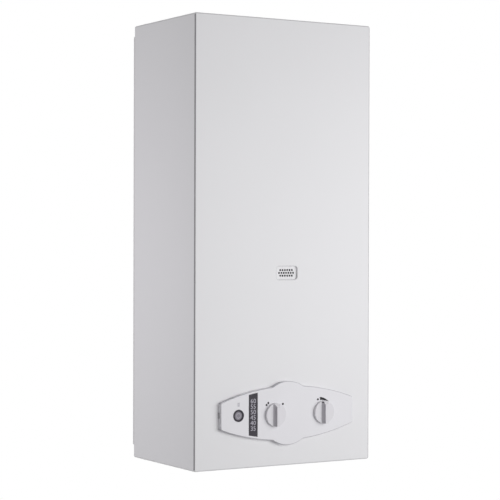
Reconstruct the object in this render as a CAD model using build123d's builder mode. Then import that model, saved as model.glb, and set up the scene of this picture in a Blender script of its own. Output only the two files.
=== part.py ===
from build123d import *
import os
from math import radians, tan

# Instantaneous gas water heater for a wall. All sizes are in millimetres.
# X runs to the right for a person who faces the heater, -Y to the front, Z up.
# The origin lies on the wall, midway between the two hanging holes.

os.makedirs("parts", exist_ok=True)

# Clearances
gap = 0.3
running_fit = 0.05

# Cover
case_width = 300
case_height = 650
case_depth = 187
case_sheet = 1.0
case_corner = 3.0
case_fold = 2.0
case_rear_gap = 6
case_front_lip = 43
case_opening_half = 120
case_screw_inset = 14
case_screw_from_wall = 20
case_slot_radius = 2.5
collar_clearance = 4
sleeve_hole_margin = 5
unit_window_margin = 6
unit_window_height = 40
top_vent_inset = 47
top_vent_length = 46
top_vent_width = 5
top_vent_pitch = 10
top_vent_count = 5

# Back plate and its hanging holes
plate_sheet = 1.2
plate_flange = 16
plate_chamfer = 5
plate_below_top = 12
plate_above_bottom = 15
hang_below_top = 60
hang_spacing = 228
hang_slot_length = 16
hang_slot_width = 8

# Control panel on the cover
panel_x = 2.5
panel_level = 77
panel_half_width = 113
panel_half_height = 39.4
panel_arc = 325
panel_boss = 46.4
panel_corner = 4
panel_blend = 6
panel_rise = 7
panel_wall = 2
panel_edge = 1.2
notch_level = 78
notch_height = 8
notch_depth = 3

# Display strip
strip_x = -56.8
strip_width = 14.8
strip_margin = 3.3
strip_lip = 1.0
strip_plate = 1.0

# Push button
button_x = -81.3
button_level = 77
bezel_outer = 8.8
bezel_inner = 6.3
bezel_proud = 0.6
bezel_lip = 1.2
bezel_tail = 1.0
bezel_edge = 0.25
button_radius = 6.1
button_thick = 2.6
button_sunk = 0.8
button_edge = 0.4
button_ring_outer = 3.6
button_ring_inner = 3.0
button_ring_depth = 0.4
button_stem = 3.0
button_travel = 2.5
lamp_level = 93
lamp_width = 3
lamp_height = 5
lamp_flange = 0.75
lamp_flange_thick = 1.0
plunger_proud = 1

# Control knobs
power_x = -20
flow_x = 63.4
knob_level = 75.5
knob_radius = 17
knob_disc = 4
knob_edge = 1.0
knob_clear = 0.5
grip_base = 15
grip_waist = 8
grip_face = 5
grip_rise = 6
grip_sink = 1
grip_end_radius = 16.3
pointer_start = 11.5
sleeve_radius = 6
sleeve_length = 22
spindle_radius = 4
spindle_flat = 2.6
spindle_reach = 13
spindle_end_room = 1
spindle_flat_lead = 2
spindle_depth = 14
cut_margin = 1

# Panel screws
panel_screw_radius = 1.5
panel_screw_length = 4.5
panel_screw_boss = 3.5
panel_screw_head = 3.2
panel_screw_head_thick = 2
panel_screw_inset = 8
panel_screw_spread = 22.25

# Sight grille
grille_x = 4
grille_level = 280.6
grille_width = 36
grille_height = 20
grille_corner = 4.5
grille_depth = 2.5
grille_hole = 1.15
grille_pitch = 4.0
grille_row_pitch = 4.1
grille_rows = (6, 7, 6)
glass_thick = 1.5
glass_width = 30
glass_height = 16
clip_thick = 0.8
clip_rim_x = 5
clip_rim_z = 4
clip_foot_width = 3
clip_foot_height = 14

# Water and gas connections
pipe_radius = 7.5
pipe_bore = 6.5
thread_radius = 10.48
thread_length = 20
thread_chamfer = 0.8
neck_radius = 10.2
connection_spacing = 78
connection_from_wall = 66
connection_end = -8
connection_bore = 6
nut_flats = 30
nut_thick = 6
shoulder_flats = 27
shoulder_thick = 9
stub_wall = 1.5
filter_start = 6
filter_length = 24
filter_wall = 1.2

# Service shelf
shelf_sheet = 1.5
shelf_level = 22
shelf_depth = 100
shelf_upstand = 30
shelf_tongue_margin = 4
shelf_tab_margin = 3
shelf_tab_below_unit_top = 6
air_hole_radius = 8
air_hole_pitch = 46
air_hole_from_wall = 27

# Gas valve
gas_half_width = 34
gas_depth = 70
gas_height = 60
gas_bottom = 55
gas_from_wall = 42
boss_radius = 10
boss_length = 16
valve_corner = 4
valve_edge = 2
port_depth = 15
rod_radius = 2
rod_from_wall = 77
rod_level = 88
rod_proud = 3
outlet_x = 16
outlet_from_wall = 88
gas_cover_x = 14
gas_cover_width = 30
gas_cover_thick = 5
gas_cover_margin = 5
gas_cover_corner = 3
gas_cover_edge = 1
solenoid_x = -14
solenoid_radius = 14
solenoid_height = 34
solenoid_foot = 12
solenoid_foot_height = 6
solenoid_edge = 1.5

# Water valve
water_from_wall = 44
water_depth = 66
water_width = 40
water_height = 56
cover_gap = 6
flange_radius = 31
flange_thick = 9
body_flange = 7.5
chamber_radius = 26
chamber_depth = 6
membrane = 1.5
plate_radius = 22
rod_travel = 3.5
valve_screw_radius = 2
valve_screw_head = 3.4
valve_screw_head_thick = 2.5
screw_circle = 28
water_boss_radius = 9
water_out_inset = 14

# Ignition switch on the valve rod
switch_thick = 10
switch_height = 16
switch_depth = 40
switch_behind_rod = 17
switch_from_rod_end = 6
ear_width = 4.0
ear_depth = 5
pin_radius = 0.8
pivot_inset = 3
lever_hub = 1.5
switch_bracket_sheet = 2
switch_bracket_foot = 12
switch_bracket_height = 24
lever_thick = 0.8
lever_height = 6
lever_length = 22

# Control unit and battery box
unit_width = 60
unit_height = 64
button_in_unit = 20.7
unit_bottom = 44
unit_depth = 36
unit_corner = 3
unit_edge = 1
plunger_depth = 12
unit_behind_cover = 5
board_thick = 1.6
board_height = 38
board_margin = 2
light_bar_count = 6
light_bar_inset = 2.5
light_bar_space = 2
cell_radius = 17
cell_length = 61.5
tray_wall = 1.5
tray_height = 34
box_wall = 1.5
box_left_of_unit = 13
box_flange = 3
box_flange_thick = 1.5
box_flange_overlap = 0.5
pull_width = 5
pull_drop = 4
cell_cap_radius = 4.5
cell_cap_height = 2
contact_thick = 2
contact_radius = 11
box_bottom = 6

# Burner
stack_from_wall = 92
stack_half_depth = 58
burner_bottom = 185
burner_height = 71
case_side_space = 42
frame_ledge = 6
air_window_margin = 6
air_window_height = 22
air_window_above_bottom = 3
frame_sheet = 1.5
blade_pitch = 16
blade_thick = 10
blade_height = 57
blade_wall = 1
throat_above_foot = 12
throat_depth = 14
blade_slot_depth = 3
blade_slot_width = 2.5
manifold_size = 16
injector_length = 8
injector_bore = 0.6
injector_hex = 4.1
injector_hex_height = 3
injector_tip_radius = 3.0
manifold_margin = 2
manifold_corner = 3
manifold_edge = 2
gas_pipe_radius = 7
gas_pipe_wall = 1
gas_pipe_rise = 34
gas_pipe_drop = 28
gas_pipe_bend = 14
blade_slot_pitch = 15
blade_slot_count = 7
electrode_x = -40
flame_sensor_x = 48
electrode_level = 250
electrode_out = 14
electrode_tab = 26
ceramic_radius = 3.5
ceramic_inside = 6
electrode_inside = 30
electrode_wire = 1
tab_height = 9
tab_thick = 1

# Heat exchanger
copper_sheet = 1.0
chamber_overhang = 2.2
fin_height = 44
fin_thick = 0.6
fin_pitch = 6
fin_corner = 1
tube_count = 5
tube_pitch = 24
tube_below_top = 26
tube_out = 3
coil_first = 300
coil_runs = 7
coil_below_tubes = 40
coil_start = 262
coil_bend = 20
coil_end_bend = 14
cold_bend = 18
cold_straight = 18
cold_slant = 36
feed_margin = 6
hot_turn = 170
hot_bend = 18
hot_end_bend = 14
hot_pipe_space = 1.5
hot_slant = 40
hot_cross = 20
union_flats = 22
union_thick = 12
gas_union_flats = 20
window_width = 40
window_height = 22
mica_margin = 5
mica_thick = 0.8
window_frame_rim_x = 8
window_frame_rim_z = 6
window_frame_thick = 1.2
window_screw_radius = 2.6
window_screw_thick = 1.6

# Flue
flue_from_wall = 92
collar_bore = 56.25
collar_wall = 1.5
collar_height = 38
collar_rise = 6
hood_sheet = 1.0
hood_taper = 70
hood_box = 70
hood_narrowing = 18
hood_top_depth = 116
relief_height = 24
relief_above_neck = 6
relief_margin = 15
baffle_margin = 30
baffle_above_relief = 10

# Brackets
bracket_width = 20
bracket_spacing = 130
bracket_middle = 270
bracket_above_edge = 20
corner_bracket_gap = 2
corner_bracket_width = 18
case_screw_radius = 2
case_screw_head = 4
case_screw_head_thick = 2.2
case_screw_length = 6
recess_length = 5
recess_width = 1
recess_depth = 1

# Sensors and leads
cutout_radius = 7
cutout_thick = 6
cutout_sink = 1
clip_wall = 2
cutout_below_tubes = 28
spill_sensor_x = -60
spill_below_top = 18
lead_radius = 1.5
lead_from_manifold = 6

# Values that follow from the sizes above
case_front = case_rear_gap + case_depth
panel_front = case_front + panel_rise
panel_back = panel_front - panel_wall
knob_back = panel_front + knob_clear
cover_back = case_front - case_sheet
plate_half = case_width / 2 - case_sheet - gap
stack_front = stack_from_wall + stack_half_depth
top_vent_x = case_width / 2 - top_vent_inset
glass_face = cover_back - grille_depth
unit_left = button_x - button_in_unit
box_left = unit_left - box_left_of_unit
burner_half_width = case_width / 2 - case_side_space
blade_count = int((2 * (burner_half_width - frame_sheet - gap) - blade_thick) / blade_pitch) + 1
tube_end = burner_half_width + chamber_overhang
coil_half = tube_end + pipe_radius + gap
chamber_corner = coil_bend - pipe_radius - gap
fin_count = int(2 * (tube_end - chamber_corner + fin_corner) / fin_pitch) + 1
hood_top = case_height + collar_rise - collar_height
hood_neck = hood_top - hood_box
hood_top_width = 2 * (burner_half_width - hood_narrowing)
chamber_top = hood_neck - hood_taper
tube_level = chamber_top - tube_below_top
coil_rise = (tube_level - coil_below_tubes - coil_first) / (coil_runs + 1)
cutout_level = tube_level - cutout_below_tubes
spill_sensor_level = hood_top - spill_below_top


def level(height):
    # Z of a height above the lower edge of the cover
    return hang_below_top - case_height + height


# Places of the four panel screws, as x and height above the cover's lower edge
panel_screw_places = (
    (panel_x - panel_half_width + panel_screw_inset, panel_level),
    (panel_x - panel_screw_spread, panel_level + panel_half_height - panel_screw_inset),
    (panel_x + panel_screw_spread, panel_level - panel_half_height + panel_screw_inset),
    (panel_x + panel_half_width - panel_screw_inset, panel_level),
)

# Back plate: a shallow pressed tray with clipped corners
with BuildPart() as back_plate:
    with BuildSketch(Plane.XZ) as plate_outline:
        with Locations((0, level((case_height - plate_below_top + plate_above_bottom) / 2))):
            Rectangle(2 * plate_half, case_height - plate_below_top - plate_above_bottom)
        chamfer(plate_outline.vertices(), length=plate_chamfer)
    extrude(amount=plate_flange)
    offset(amount=-plate_sheet, openings=back_plate.faces().sort_by(Axis.Y)[0])
    with BuildSketch(Plane.XZ):
        with GridLocations(hang_spacing, 1, 2, 1):
            SlotOverall(hang_slot_length, hang_slot_width)
    extrude(amount=plate_sheet, mode=Mode.SUBTRACT)
back_plate.part.label = "back_plate"
export_step(back_plate.part, "parts/back_plate.step")

# Cover: front, sides, top and bottom folded from one sheet, open at the back
with BuildPart() as front_casing:
    with BuildSketch(Plane.XZ.offset(case_rear_gap)):
        with Locations((0, level(case_height / 2))):
            RectangleRounded(case_width, case_height, case_corner)
    extrude(amount=case_depth)
    fillet(front_casing.faces().sort_by(Axis.Y)[0].edges(), radius=case_fold)
    offset(amount=-case_sheet, openings=front_casing.faces().sort_by(Axis.Y)[-1])
    # Opening in the bottom for air, pipes and the battery tray
    with BuildSketch(Plane.XY.offset(level(0))):
        with Locations((0, -(case_front - case_front_lip) / 2)):
            Rectangle(2 * case_opening_half, case_front - case_front_lip)
    extrude(amount=case_sheet, mode=Mode.SUBTRACT)
    # Slot in the top round the flue collar, open to the back, and vents beside it
    with BuildSketch(Plane.XY.offset(level(case_height) - case_sheet)):
        with Locations((0, -flue_from_wall)):
            Circle(collar_bore + collar_wall + collar_clearance)
        with Locations((0, -flue_from_wall / 2)):
            Rectangle(2 * (collar_bore + collar_wall + collar_clearance), flue_from_wall)
        with Locations((-top_vent_x, -flue_from_wall), (top_vent_x, -flue_from_wall)):
            with GridLocations(top_vent_pitch, top_vent_pitch, 1, top_vent_count):
                SlotOverall(top_vent_length, top_vent_width)
    extrude(amount=case_sheet, mode=Mode.SUBTRACT)
    # Screw slots in the rear corners of the top and the bottom, open to the back
    for plane_height in (level(0), level(case_height) - case_sheet):
        with BuildSketch(Plane.XY.offset(plane_height)):
            with GridLocations(case_width - 2 * case_screw_inset, 1, 2, 1):
                with Locations((0, -case_screw_from_wall)):
                    Circle(case_slot_radius)
                with Locations((0, -case_screw_from_wall / 2)):
                    Rectangle(2 * case_slot_radius, case_screw_from_wall)
        extrude(amount=case_sheet, mode=Mode.SUBTRACT)
    # Pressed recess with its rows of sight holes
    with BuildSketch(Plane.XZ.offset(glass_face)):
        with Locations((grille_x, level(grille_level))):
            RectangleRounded(grille_width + 2 * case_sheet, grille_height + 2 * case_sheet,
                             grille_corner + case_sheet)
    extrude(amount=grille_depth)
    with BuildSketch(Plane.XZ.offset(case_front - grille_depth)):
        with Locations((grille_x, level(grille_level))):
            RectangleRounded(grille_width, grille_height, grille_corner)
    extrude(amount=grille_depth, mode=Mode.SUBTRACT)
    with BuildSketch(Plane.XZ.offset(glass_face)):
        for row, holes in enumerate(grille_rows):
            with Locations((grille_x, level(grille_level) + (1 - row) * grille_row_pitch)):
                with GridLocations(grille_pitch, grille_pitch, holes, 1):
                    Circle(grille_hole)
    extrude(amount=case_sheet, mode=Mode.SUBTRACT)
    # Openings behind the control panel
    with BuildSketch(Plane.XZ.offset(cover_back)):
        with Locations((power_x, level(knob_level)), (flow_x, level(knob_level))):
            Circle(sleeve_radius + sleeve_hole_margin)
        with Locations((unit_left + unit_width / 2, level(panel_level))):
            Rectangle(unit_width - 2 * unit_window_margin, unit_window_height)
        for screw_x, screw_level in panel_screw_places:
            with Locations((screw_x, level(screw_level))):
                Circle(panel_screw_radius + running_fit)
    extrude(amount=case_sheet, mode=Mode.SUBTRACT)
front_casing.part.label = "front_casing"
export_step(front_casing.part, "parts/front_casing.step")

# Control panel: a moulded shell, a long lens shape with a round swelling in the middle
with BuildPart() as fascia:
    with BuildSketch(Plane.XZ.offset(case_front)) as panel_outline:
        with Locations((panel_x, level(panel_level))):
            Rectangle(2 * panel_half_width, 2 * panel_half_height)
        with Locations((panel_x, level(panel_level) + panel_half_height - panel_arc)):
            Circle(panel_arc, mode=Mode.INTERSECT)
        with Locations((panel_x, level(panel_level) - panel_half_height + panel_arc)):
            Circle(panel_arc, mode=Mode.INTERSECT)
        fillet(panel_outline.vertices(), radius=panel_corner)
        with Locations((panel_x, level(panel_level))):
            Circle(panel_boss)
        junctions = panel_outline.vertices().filter_by(lambda corner: abs(corner.X - panel_x) < panel_boss)
        fillet(junctions, radius=panel_blend)
    extrude(amount=panel_rise)
    fillet(fascia.faces().sort_by(Axis.Y)[0].edges(), radius=panel_edge)
    offset(amount=-panel_wall, openings=fascia.faces().sort_by(Axis.Y)[-1])
    # Window for the display, with its lip on the inside
    with BuildSketch(Plane.XZ.offset(panel_back)) as strip_hole:
        with Locations((strip_x, level(panel_level))):
            Rectangle(strip_width, 2 * panel_half_height)
        with Locations((panel_x, level(panel_level) + panel_half_height - panel_arc)):
            Circle(panel_arc - strip_margin, mode=Mode.INTERSECT)
        with Locations((panel_x, level(panel_level) - panel_half_height + panel_arc)):
            Circle(panel_arc - strip_margin, mode=Mode.INTERSECT)
    extrude(amount=panel_wall, mode=Mode.SUBTRACT)
    # Hole for the button, the lamp and the two knob sleeves
    with BuildSketch(Plane.XZ.offset(panel_back)):
        with Locations((button_x, level(button_level))):
            Circle(bezel_outer - bezel_lip)
        with Locations((button_x, level(lamp_level))):
            Rectangle(lamp_width, lamp_height)
        with Locations((power_x, level(knob_level)), (flow_x, level(knob_level))):
            Circle(sleeve_radius + running_fit)
    extrude(amount=panel_wall, mode=Mode.SUBTRACT)
    # Small notch at the foot of the left end wall
    with BuildSketch(Plane.XZ.offset(case_front)):
        with Locations((panel_x - panel_half_width, level(notch_level))):
            Rectangle(2 * panel_wall, notch_height)
    extrude(amount=notch_depth, mode=Mode.SUBTRACT)
    # Collars that carry the knob sleeves
    with BuildSketch(Plane.XZ.offset(case_front)):
        with Locations((power_x, level(knob_level)), (flow_x, level(knob_level))):
            Circle(sleeve_radius + panel_wall)
            Circle(sleeve_radius + running_fit, mode=Mode.SUBTRACT)
    extrude(amount=panel_rise - panel_wall)
    # Screw bosses
    with BuildSketch(Plane.XZ.offset(case_front)):
        for screw_x, screw_level in panel_screw_places:
            with Locations((screw_x, level(screw_level))):
                Circle(panel_screw_boss)
                Circle(panel_screw_radius, mode=Mode.SUBTRACT)
    extrude(amount=panel_rise - panel_wall)
fascia.part.label = "fascia"
export_step(fascia.part, "parts/fascia.step")

# Smoked window of the display, flush with the panel and lipped behind it
with BuildPart() as display_window:
    with BuildSketch(Plane.XZ.offset(panel_back - strip_plate)):
        with Locations((strip_x, level(panel_level))):
            Rectangle(strip_width + 2 * strip_lip, 2 * panel_half_height)
        with Locations((panel_x, level(panel_level) + panel_half_height - panel_arc)):
            Circle(panel_arc - strip_margin + strip_lip, mode=Mode.INTERSECT)
        with Locations((panel_x, level(panel_level) - panel_half_height + panel_arc)):
            Circle(panel_arc - strip_margin + strip_lip, mode=Mode.INTERSECT)
    extrude(amount=strip_plate)
    with BuildSketch(Plane.XZ.offset(panel_back)):
        with Locations((strip_x, level(panel_level))):
            Rectangle(strip_width - gap, 2 * panel_half_height)
        with Locations((panel_x, level(panel_level) + panel_half_height - panel_arc)):
            Circle(panel_arc - strip_margin - gap / 2, mode=Mode.INTERSECT)
        with Locations((panel_x, level(panel_level) - panel_half_height + panel_arc)):
            Circle(panel_arc - strip_margin - gap / 2, mode=Mode.INTERSECT)
    extrude(amount=panel_wall)
display_window.part.label = "display_window"
export_step(display_window.part, "parts/display_window.step")

# Ring round the push button, snapped into the panel
with BuildPart() as button_bezel:
    with BuildSketch(Plane.XZ.offset(panel_front)):
        with Locations((button_x, level(button_level))):
            Circle(bezel_outer)
            Circle(bezel_inner, mode=Mode.SUBTRACT)
    extrude(amount=bezel_proud)
    with BuildSketch(Plane.XZ.offset(panel_back - bezel_tail)):
        with Locations((button_x, level(button_level))):
            Circle(bezel_outer - bezel_lip - gap / 2)
            Circle(bezel_inner, mode=Mode.SUBTRACT)
    extrude(amount=panel_wall + bezel_tail)
    fillet(button_bezel.faces().sort_by(Axis.Y)[0].edges(), radius=bezel_edge)
button_bezel.part.label = "button_bezel"
export_step(button_bezel.part, "parts/button_bezel.step")

# Push button with a ringed face, on a stem
button_face = panel_front + bezel_proud - button_sunk
plunger_face = case_front + plunger_proud
with BuildPart() as power_button:
    with BuildSketch(Plane.XZ.offset(button_face - button_thick)):
        with Locations((button_x, level(button_level))):
            Circle(button_radius)
    extrude(amount=button_thick)
    fillet(power_button.faces().sort_by(Axis.Y)[0].edges(), radius=button_edge)
    with BuildSketch(Plane.XZ.offset(button_face)):
        with Locations((button_x, level(button_level))):
            Circle(button_ring_outer)
            Circle(button_ring_inner, mode=Mode.SUBTRACT)
    extrude(amount=-button_ring_depth, mode=Mode.SUBTRACT)
    with BuildSketch(Plane.XZ.offset(plunger_face + gap)):
        with Locations((button_x, level(button_level))):
            Circle(button_stem)
    extrude(amount=button_face - button_thick - plunger_face - gap)
power_button.part.label = "power_button"
export_step(power_button.part, "parts/power_button.step")

# Small lamp above the button
with BuildPart() as status_lamp:
    with BuildSketch(Plane.XZ.offset(panel_back)):
        with Locations((button_x, level(lamp_level))):
            Rectangle(lamp_width - gap, lamp_height - gap)
    extrude(amount=panel_wall)
    with BuildSketch(Plane.XZ.offset(panel_back - lamp_flange_thick)):
        with Locations((button_x, level(lamp_level))):
            Rectangle(lamp_width + 2 * lamp_flange, lamp_height + 2 * lamp_flange)
    extrude(amount=lamp_flange_thick)
status_lamp.part.label = "status_lamp"
export_step(status_lamp.part, "parts/status_lamp.step")

# Sight glass behind the holes, and the spring clip that holds it
with BuildPart() as sight_glass:
    with BuildSketch(Plane.XZ.offset(glass_face - glass_thick)):
        with Locations((grille_x, level(grille_level))):
            Rectangle(glass_width, glass_height)
    extrude(amount=glass_thick)
sight_glass.part.label = "sight_glass"
export_step(sight_glass.part, "parts/sight_glass.step")

with BuildPart() as sight_glass_clip:
    with BuildSketch(Plane.XZ.offset(glass_face - glass_thick - clip_thick)):
        with Locations((grille_x, level(grille_level))):
            Rectangle(grille_width, grille_height)
            Rectangle(grille_width - 2 * clip_rim_x, grille_height - 2 * clip_rim_z, mode=Mode.SUBTRACT)
    extrude(amount=clip_thick)
    with BuildSketch(Plane.XZ.offset(glass_face - glass_thick)):
        with Locations((grille_x, level(grille_level))):
            with GridLocations(grille_width - clip_foot_width, 1, 2, 1):
                Rectangle(clip_foot_width, clip_foot_height)
    extrude(amount=glass_thick)
sight_glass_clip.part.label = "sight_glass_clip"
export_step(sight_glass_clip.part, "parts/sight_glass_clip.step")

# Four screws that hold the panel from behind
with BuildPart() as fascia_screws:
    for screw_x, screw_level in panel_screw_places:
        with BuildSketch(Plane.XZ.offset(cover_back - panel_screw_head_thick)):
            with Locations((screw_x, level(screw_level))):
                Circle(panel_screw_head)
        extrude(amount=panel_screw_head_thick)
        with BuildSketch(Plane.XZ.offset(cover_back)):
            with Locations((screw_x, level(screw_level))):
                Circle(panel_screw_radius)
        extrude(amount=case_sheet + panel_screw_length)
fascia_screws.part.label = "fascia_screws"
export_step(fascia_screws.part, "parts/fascia_screws.step")

# Two knobs: a disc with a hollow-sided grip across it and a sleeve with a D hole behind it
grip_foot = knob_back + knob_disc
grip_top = grip_foot + grip_rise
grip_root_y = -(grip_foot - grip_sink)
for knob_name, knob_x in (("power_knob", power_x), ("flow_knob", flow_x)):
    with BuildPart() as knob:
        with BuildSketch(Plane.XY.offset(level(knob_level) - knob_radius)):
            with BuildLine():
                Line((knob_x - grip_base / 2, grip_root_y), (knob_x + grip_base / 2, grip_root_y))
                ThreePointArc((knob_x + grip_base / 2, grip_root_y),
                              (knob_x + grip_waist / 2, -(grip_foot + grip_rise / 3)),
                              (knob_x + grip_face / 2, -grip_top))
                Line((knob_x + grip_face / 2, -grip_top), (knob_x - grip_face / 2, -grip_top))
                ThreePointArc((knob_x - grip_face / 2, -grip_top),
                              (knob_x - grip_waist / 2, -(grip_foot + grip_rise / 3)),
                              (knob_x - grip_base / 2, grip_root_y))
            make_face()
        extrude(amount=2 * knob_radius)
        with BuildSketch(Plane.XZ.offset(knob_back)):
            with Locations((knob_x, level(knob_level))):
                Circle(grip_end_radius)
        extrude(amount=knob_disc + grip_rise, mode=Mode.INTERSECT)
        # The pointer end of the grip slopes down to the disc
        with BuildSketch(Plane.YZ.offset(knob_x - knob_radius)):
            with BuildLine():
                Polyline((-grip_top, level(knob_level) + pointer_start),
                         (-grip_top, level(knob_level) + knob_radius),
                         (-grip_foot, level(knob_level) + knob_radius),
                         close=True)
            make_face()
        extrude(amount=2 * knob_radius, mode=Mode.SUBTRACT)
        with BuildSketch(Plane.XZ.offset(knob_back)):
            with Locations((knob_x, level(knob_level))):
                Circle(knob_radius)
        extrude(amount=knob_disc)
        rims = knob.edges().filter_by(GeomType.CIRCLE).sort_by(SortBy.RADIUS)[-2:]
        fillet(rims.sort_by(Axis.Y)[0], radius=knob_edge)
        with BuildSketch(Plane.XZ.offset(knob_back)):
            with Locations((knob_x, level(knob_level))):
                Circle(sleeve_radius)
        extrude(amount=-sleeve_length)
        with BuildSketch(Plane.XZ.offset(knob_back - sleeve_length)):
            with Locations((knob_x, level(knob_level))):
                Circle(spindle_radius + running_fit)
            with Locations((knob_x, level(knob_level) + spindle_flat + running_fit + spindle_radius)):
                Rectangle(2 * spindle_radius + cut_margin, 2 * spindle_radius, mode=Mode.SUBTRACT)
        extrude(amount=spindle_reach + spindle_end_room, mode=Mode.SUBTRACT)
    knob.part.label = knob_name
    export_step(knob.part, f"parts/{knob_name}.step")

# Spindles that the knobs turn, flat on one side where the knob slides on
spindle_tip = knob_back - sleeve_length + spindle_reach
spindle_root = gas_from_wall + gas_depth - spindle_depth
for spindle_name, spindle_x in (("gas_spindle", power_x), ("water_spindle", flow_x)):
    with BuildPart() as spindle:
        with BuildSketch(Plane.XZ.offset(spindle_root)):
            with Locations((spindle_x, level(knob_level))):
                Circle(spindle_radius)
        extrude(amount=spindle_tip - spindle_root)
        with BuildSketch(Plane.XZ.offset(knob_back - sleeve_length - spindle_flat_lead)):
            with Locations((spindle_x, level(knob_level) + spindle_flat + spindle_radius)):
                Rectangle(2 * spindle_radius + cut_margin, 2 * spindle_radius)
        extrude(amount=spindle_reach + spindle_flat_lead, mode=Mode.SUBTRACT)
    spindle.part.label = spindle_name
    export_step(spindle.part, f"parts/{spindle_name}.step")

# Service shelf: carries the three connections, the battery box and the control unit
box_inner_width = 4 * cell_radius + 3 * gap + 2 * tray_wall + 2 * gap
box_inner_depth = 2 * cell_radius + 2 * gap + 2 * tray_wall + 2 * gap
box_width = box_inner_width + 2 * box_wall
box_depth = box_inner_depth + 2 * box_wall
unit_front = cover_back - unit_behind_cover
unit_back = unit_front - unit_depth
box_front = unit_back - shelf_sheet - gap
box_x = box_left + box_width / 2
box_from_wall = box_front - box_depth / 2
shelf_top = shelf_level + shelf_sheet
with BuildPart() as service_shelf:
    with BuildSketch(Plane.XY.offset(level(shelf_level))):
        with Locations((0, -(plate_sheet + shelf_depth) / 2)):
            Rectangle(2 * case_opening_half, shelf_depth - plate_sheet)
        with Locations((box_x, -(shelf_depth + unit_back) / 2)):
            Rectangle(box_width + 2 * shelf_tongue_margin, unit_back - shelf_depth)
        with Locations((box_x, -box_from_wall)):
            Rectangle(box_width + 2 * gap, box_depth + 2 * gap, mode=Mode.SUBTRACT)
        with Locations((0, -connection_from_wall)):
            with GridLocations(connection_spacing, 1, 3, 1):
                Circle(thread_radius + gap, mode=Mode.SUBTRACT)
        with Locations((0, -air_hole_from_wall)):
            with GridLocations(air_hole_pitch, 1, 5, 1):
                Circle(air_hole_radius, mode=Mode.SUBTRACT)
    extrude(amount=shelf_sheet)
    with BuildSketch(Plane.XY.offset(level(shelf_top))):
        with Locations((0, -(plate_sheet + shelf_sheet / 2))):
            Rectangle(2 * case_opening_half, shelf_sheet)
    extrude(amount=shelf_upstand)
    with BuildSketch(Plane.XY.offset(level(shelf_top))):
        with Locations((unit_left + unit_width / 2, -(unit_back - shelf_sheet / 2))):
            Rectangle(unit_width - 2 * shelf_tab_margin, shelf_sheet)
    extrude(amount=unit_bottom + unit_height - shelf_top - shelf_tab_below_unit_top)
service_shelf.part.label = "service_shelf"
export_step(service_shelf.part, "parts/service_shelf.step")

# Threaded connections below the shelf, with their shoulders on top of it
for connection_name, connection_x in (("hot_connection", -connection_spacing), ("gas_connection", 0),
                                      ("cold_connection", connection_spacing)):
    with BuildPart() as connection:
        with BuildSketch(Plane.XY.offset(level(connection_end))):
            with Locations((connection_x, -connection_from_wall)):
                Circle(thread_radius)
        extrude(amount=thread_length)
        chamfer(connection.faces().sort_by(Axis.Z)[0].edges(), length=thread_chamfer)
        with BuildSketch(Plane.XY.offset(level(connection_end + thread_length))):
            with Locations((connection_x, -connection_from_wall)):
                Circle(neck_radius)
        extrude(amount=shelf_top - connection_end - thread_length)
        with BuildSketch(Plane.XY.offset(level(shelf_top))):
            with Locations((connection_x, -connection_from_wall)):
                RegularPolygon(shoulder_flats / 2, 6, major_radius=False)
        extrude(amount=shoulder_thick)
        with BuildSketch(Plane.XY.offset(level(shelf_top + shoulder_thick))):
            with Locations((connection_x, -connection_from_wall)):
                Circle(pipe_radius + stub_wall)
        extrude(amount=gas_bottom - shelf_top - shoulder_thick)
        with BuildSketch(Plane.XY.offset(level(connection_end))):
            with Locations((connection_x, -connection_from_wall)):
                Circle(connection_bore)
        extrude(amount=gas_bottom - connection_end, mode=Mode.SUBTRACT)
    connection.part.label = connection_name
    export_step(connection.part, f"parts/{connection_name}.step")

# Gas valve: die-cast block with its spindle boss, bored for gas and for the valve rod
gas_front = gas_from_wall + gas_depth
gas_middle = gas_from_wall + gas_depth / 2
with BuildPart() as gas_valve_body:
    with BuildSketch(Plane.XY.offset(level(gas_bottom))):
        with Locations((0, -gas_middle)):
            RectangleRounded(2 * gas_half_width, gas_depth, valve_corner)
    extrude(amount=gas_height)
    fillet(gas_valve_body.faces().sort_by(Axis.Z)[-1].edges(), radius=valve_edge)
    with BuildSketch(Plane.XZ.offset(gas_front)):
        with Locations((power_x, level(knob_level))):
            Circle(boss_radius)
    extrude(amount=boss_length)
    with BuildSketch(Plane.XZ.offset(spindle_root - gap)):
        with Locations((power_x, level(knob_level))):
            Circle(spindle_radius + running_fit)
    extrude(amount=gas_front + boss_length - spindle_root + gap, mode=Mode.SUBTRACT)
    with BuildSketch(Plane.YZ.offset(-gas_half_width)):
        with Locations((-rod_from_wall, level(rod_level))):
            Circle(rod_radius + running_fit)
    extrude(amount=2 * gas_half_width, mode=Mode.SUBTRACT)
    with BuildSketch(Plane.XY.offset(level(gas_bottom))):
        with Locations((0, -connection_from_wall)):
            Circle(connection_bore)
    extrude(amount=port_depth, mode=Mode.SUBTRACT)
    with BuildSketch(Plane.XY.offset(level(gas_bottom + gas_height - port_depth))):
        with Locations((outlet_x, -outlet_from_wall)):
            Circle(gas_pipe_radius - gas_pipe_wall)
    extrude(amount=port_depth, mode=Mode.SUBTRACT)
gas_valve_body.part.label = "gas_valve_body"
export_step(gas_valve_body.part, "parts/gas_valve_body.step")

# Cover plate on the front of the gas valve
with BuildPart() as gas_valve_cover:
    with BuildSketch(Plane.XZ.offset(gas_front)):
        with Locations((gas_cover_x, level(gas_bottom + gas_height / 2))):
            RectangleRounded(gas_cover_width, gas_height - 2 * gas_cover_margin, gas_cover_corner)
    extrude(amount=gas_cover_thick)
    fillet(gas_valve_cover.faces().sort_by(Axis.Y)[0].edges(), radius=gas_cover_edge)
gas_valve_cover.part.label = "gas_valve_cover"
export_step(gas_valve_cover.part, "parts/gas_valve_cover.step")

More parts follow.
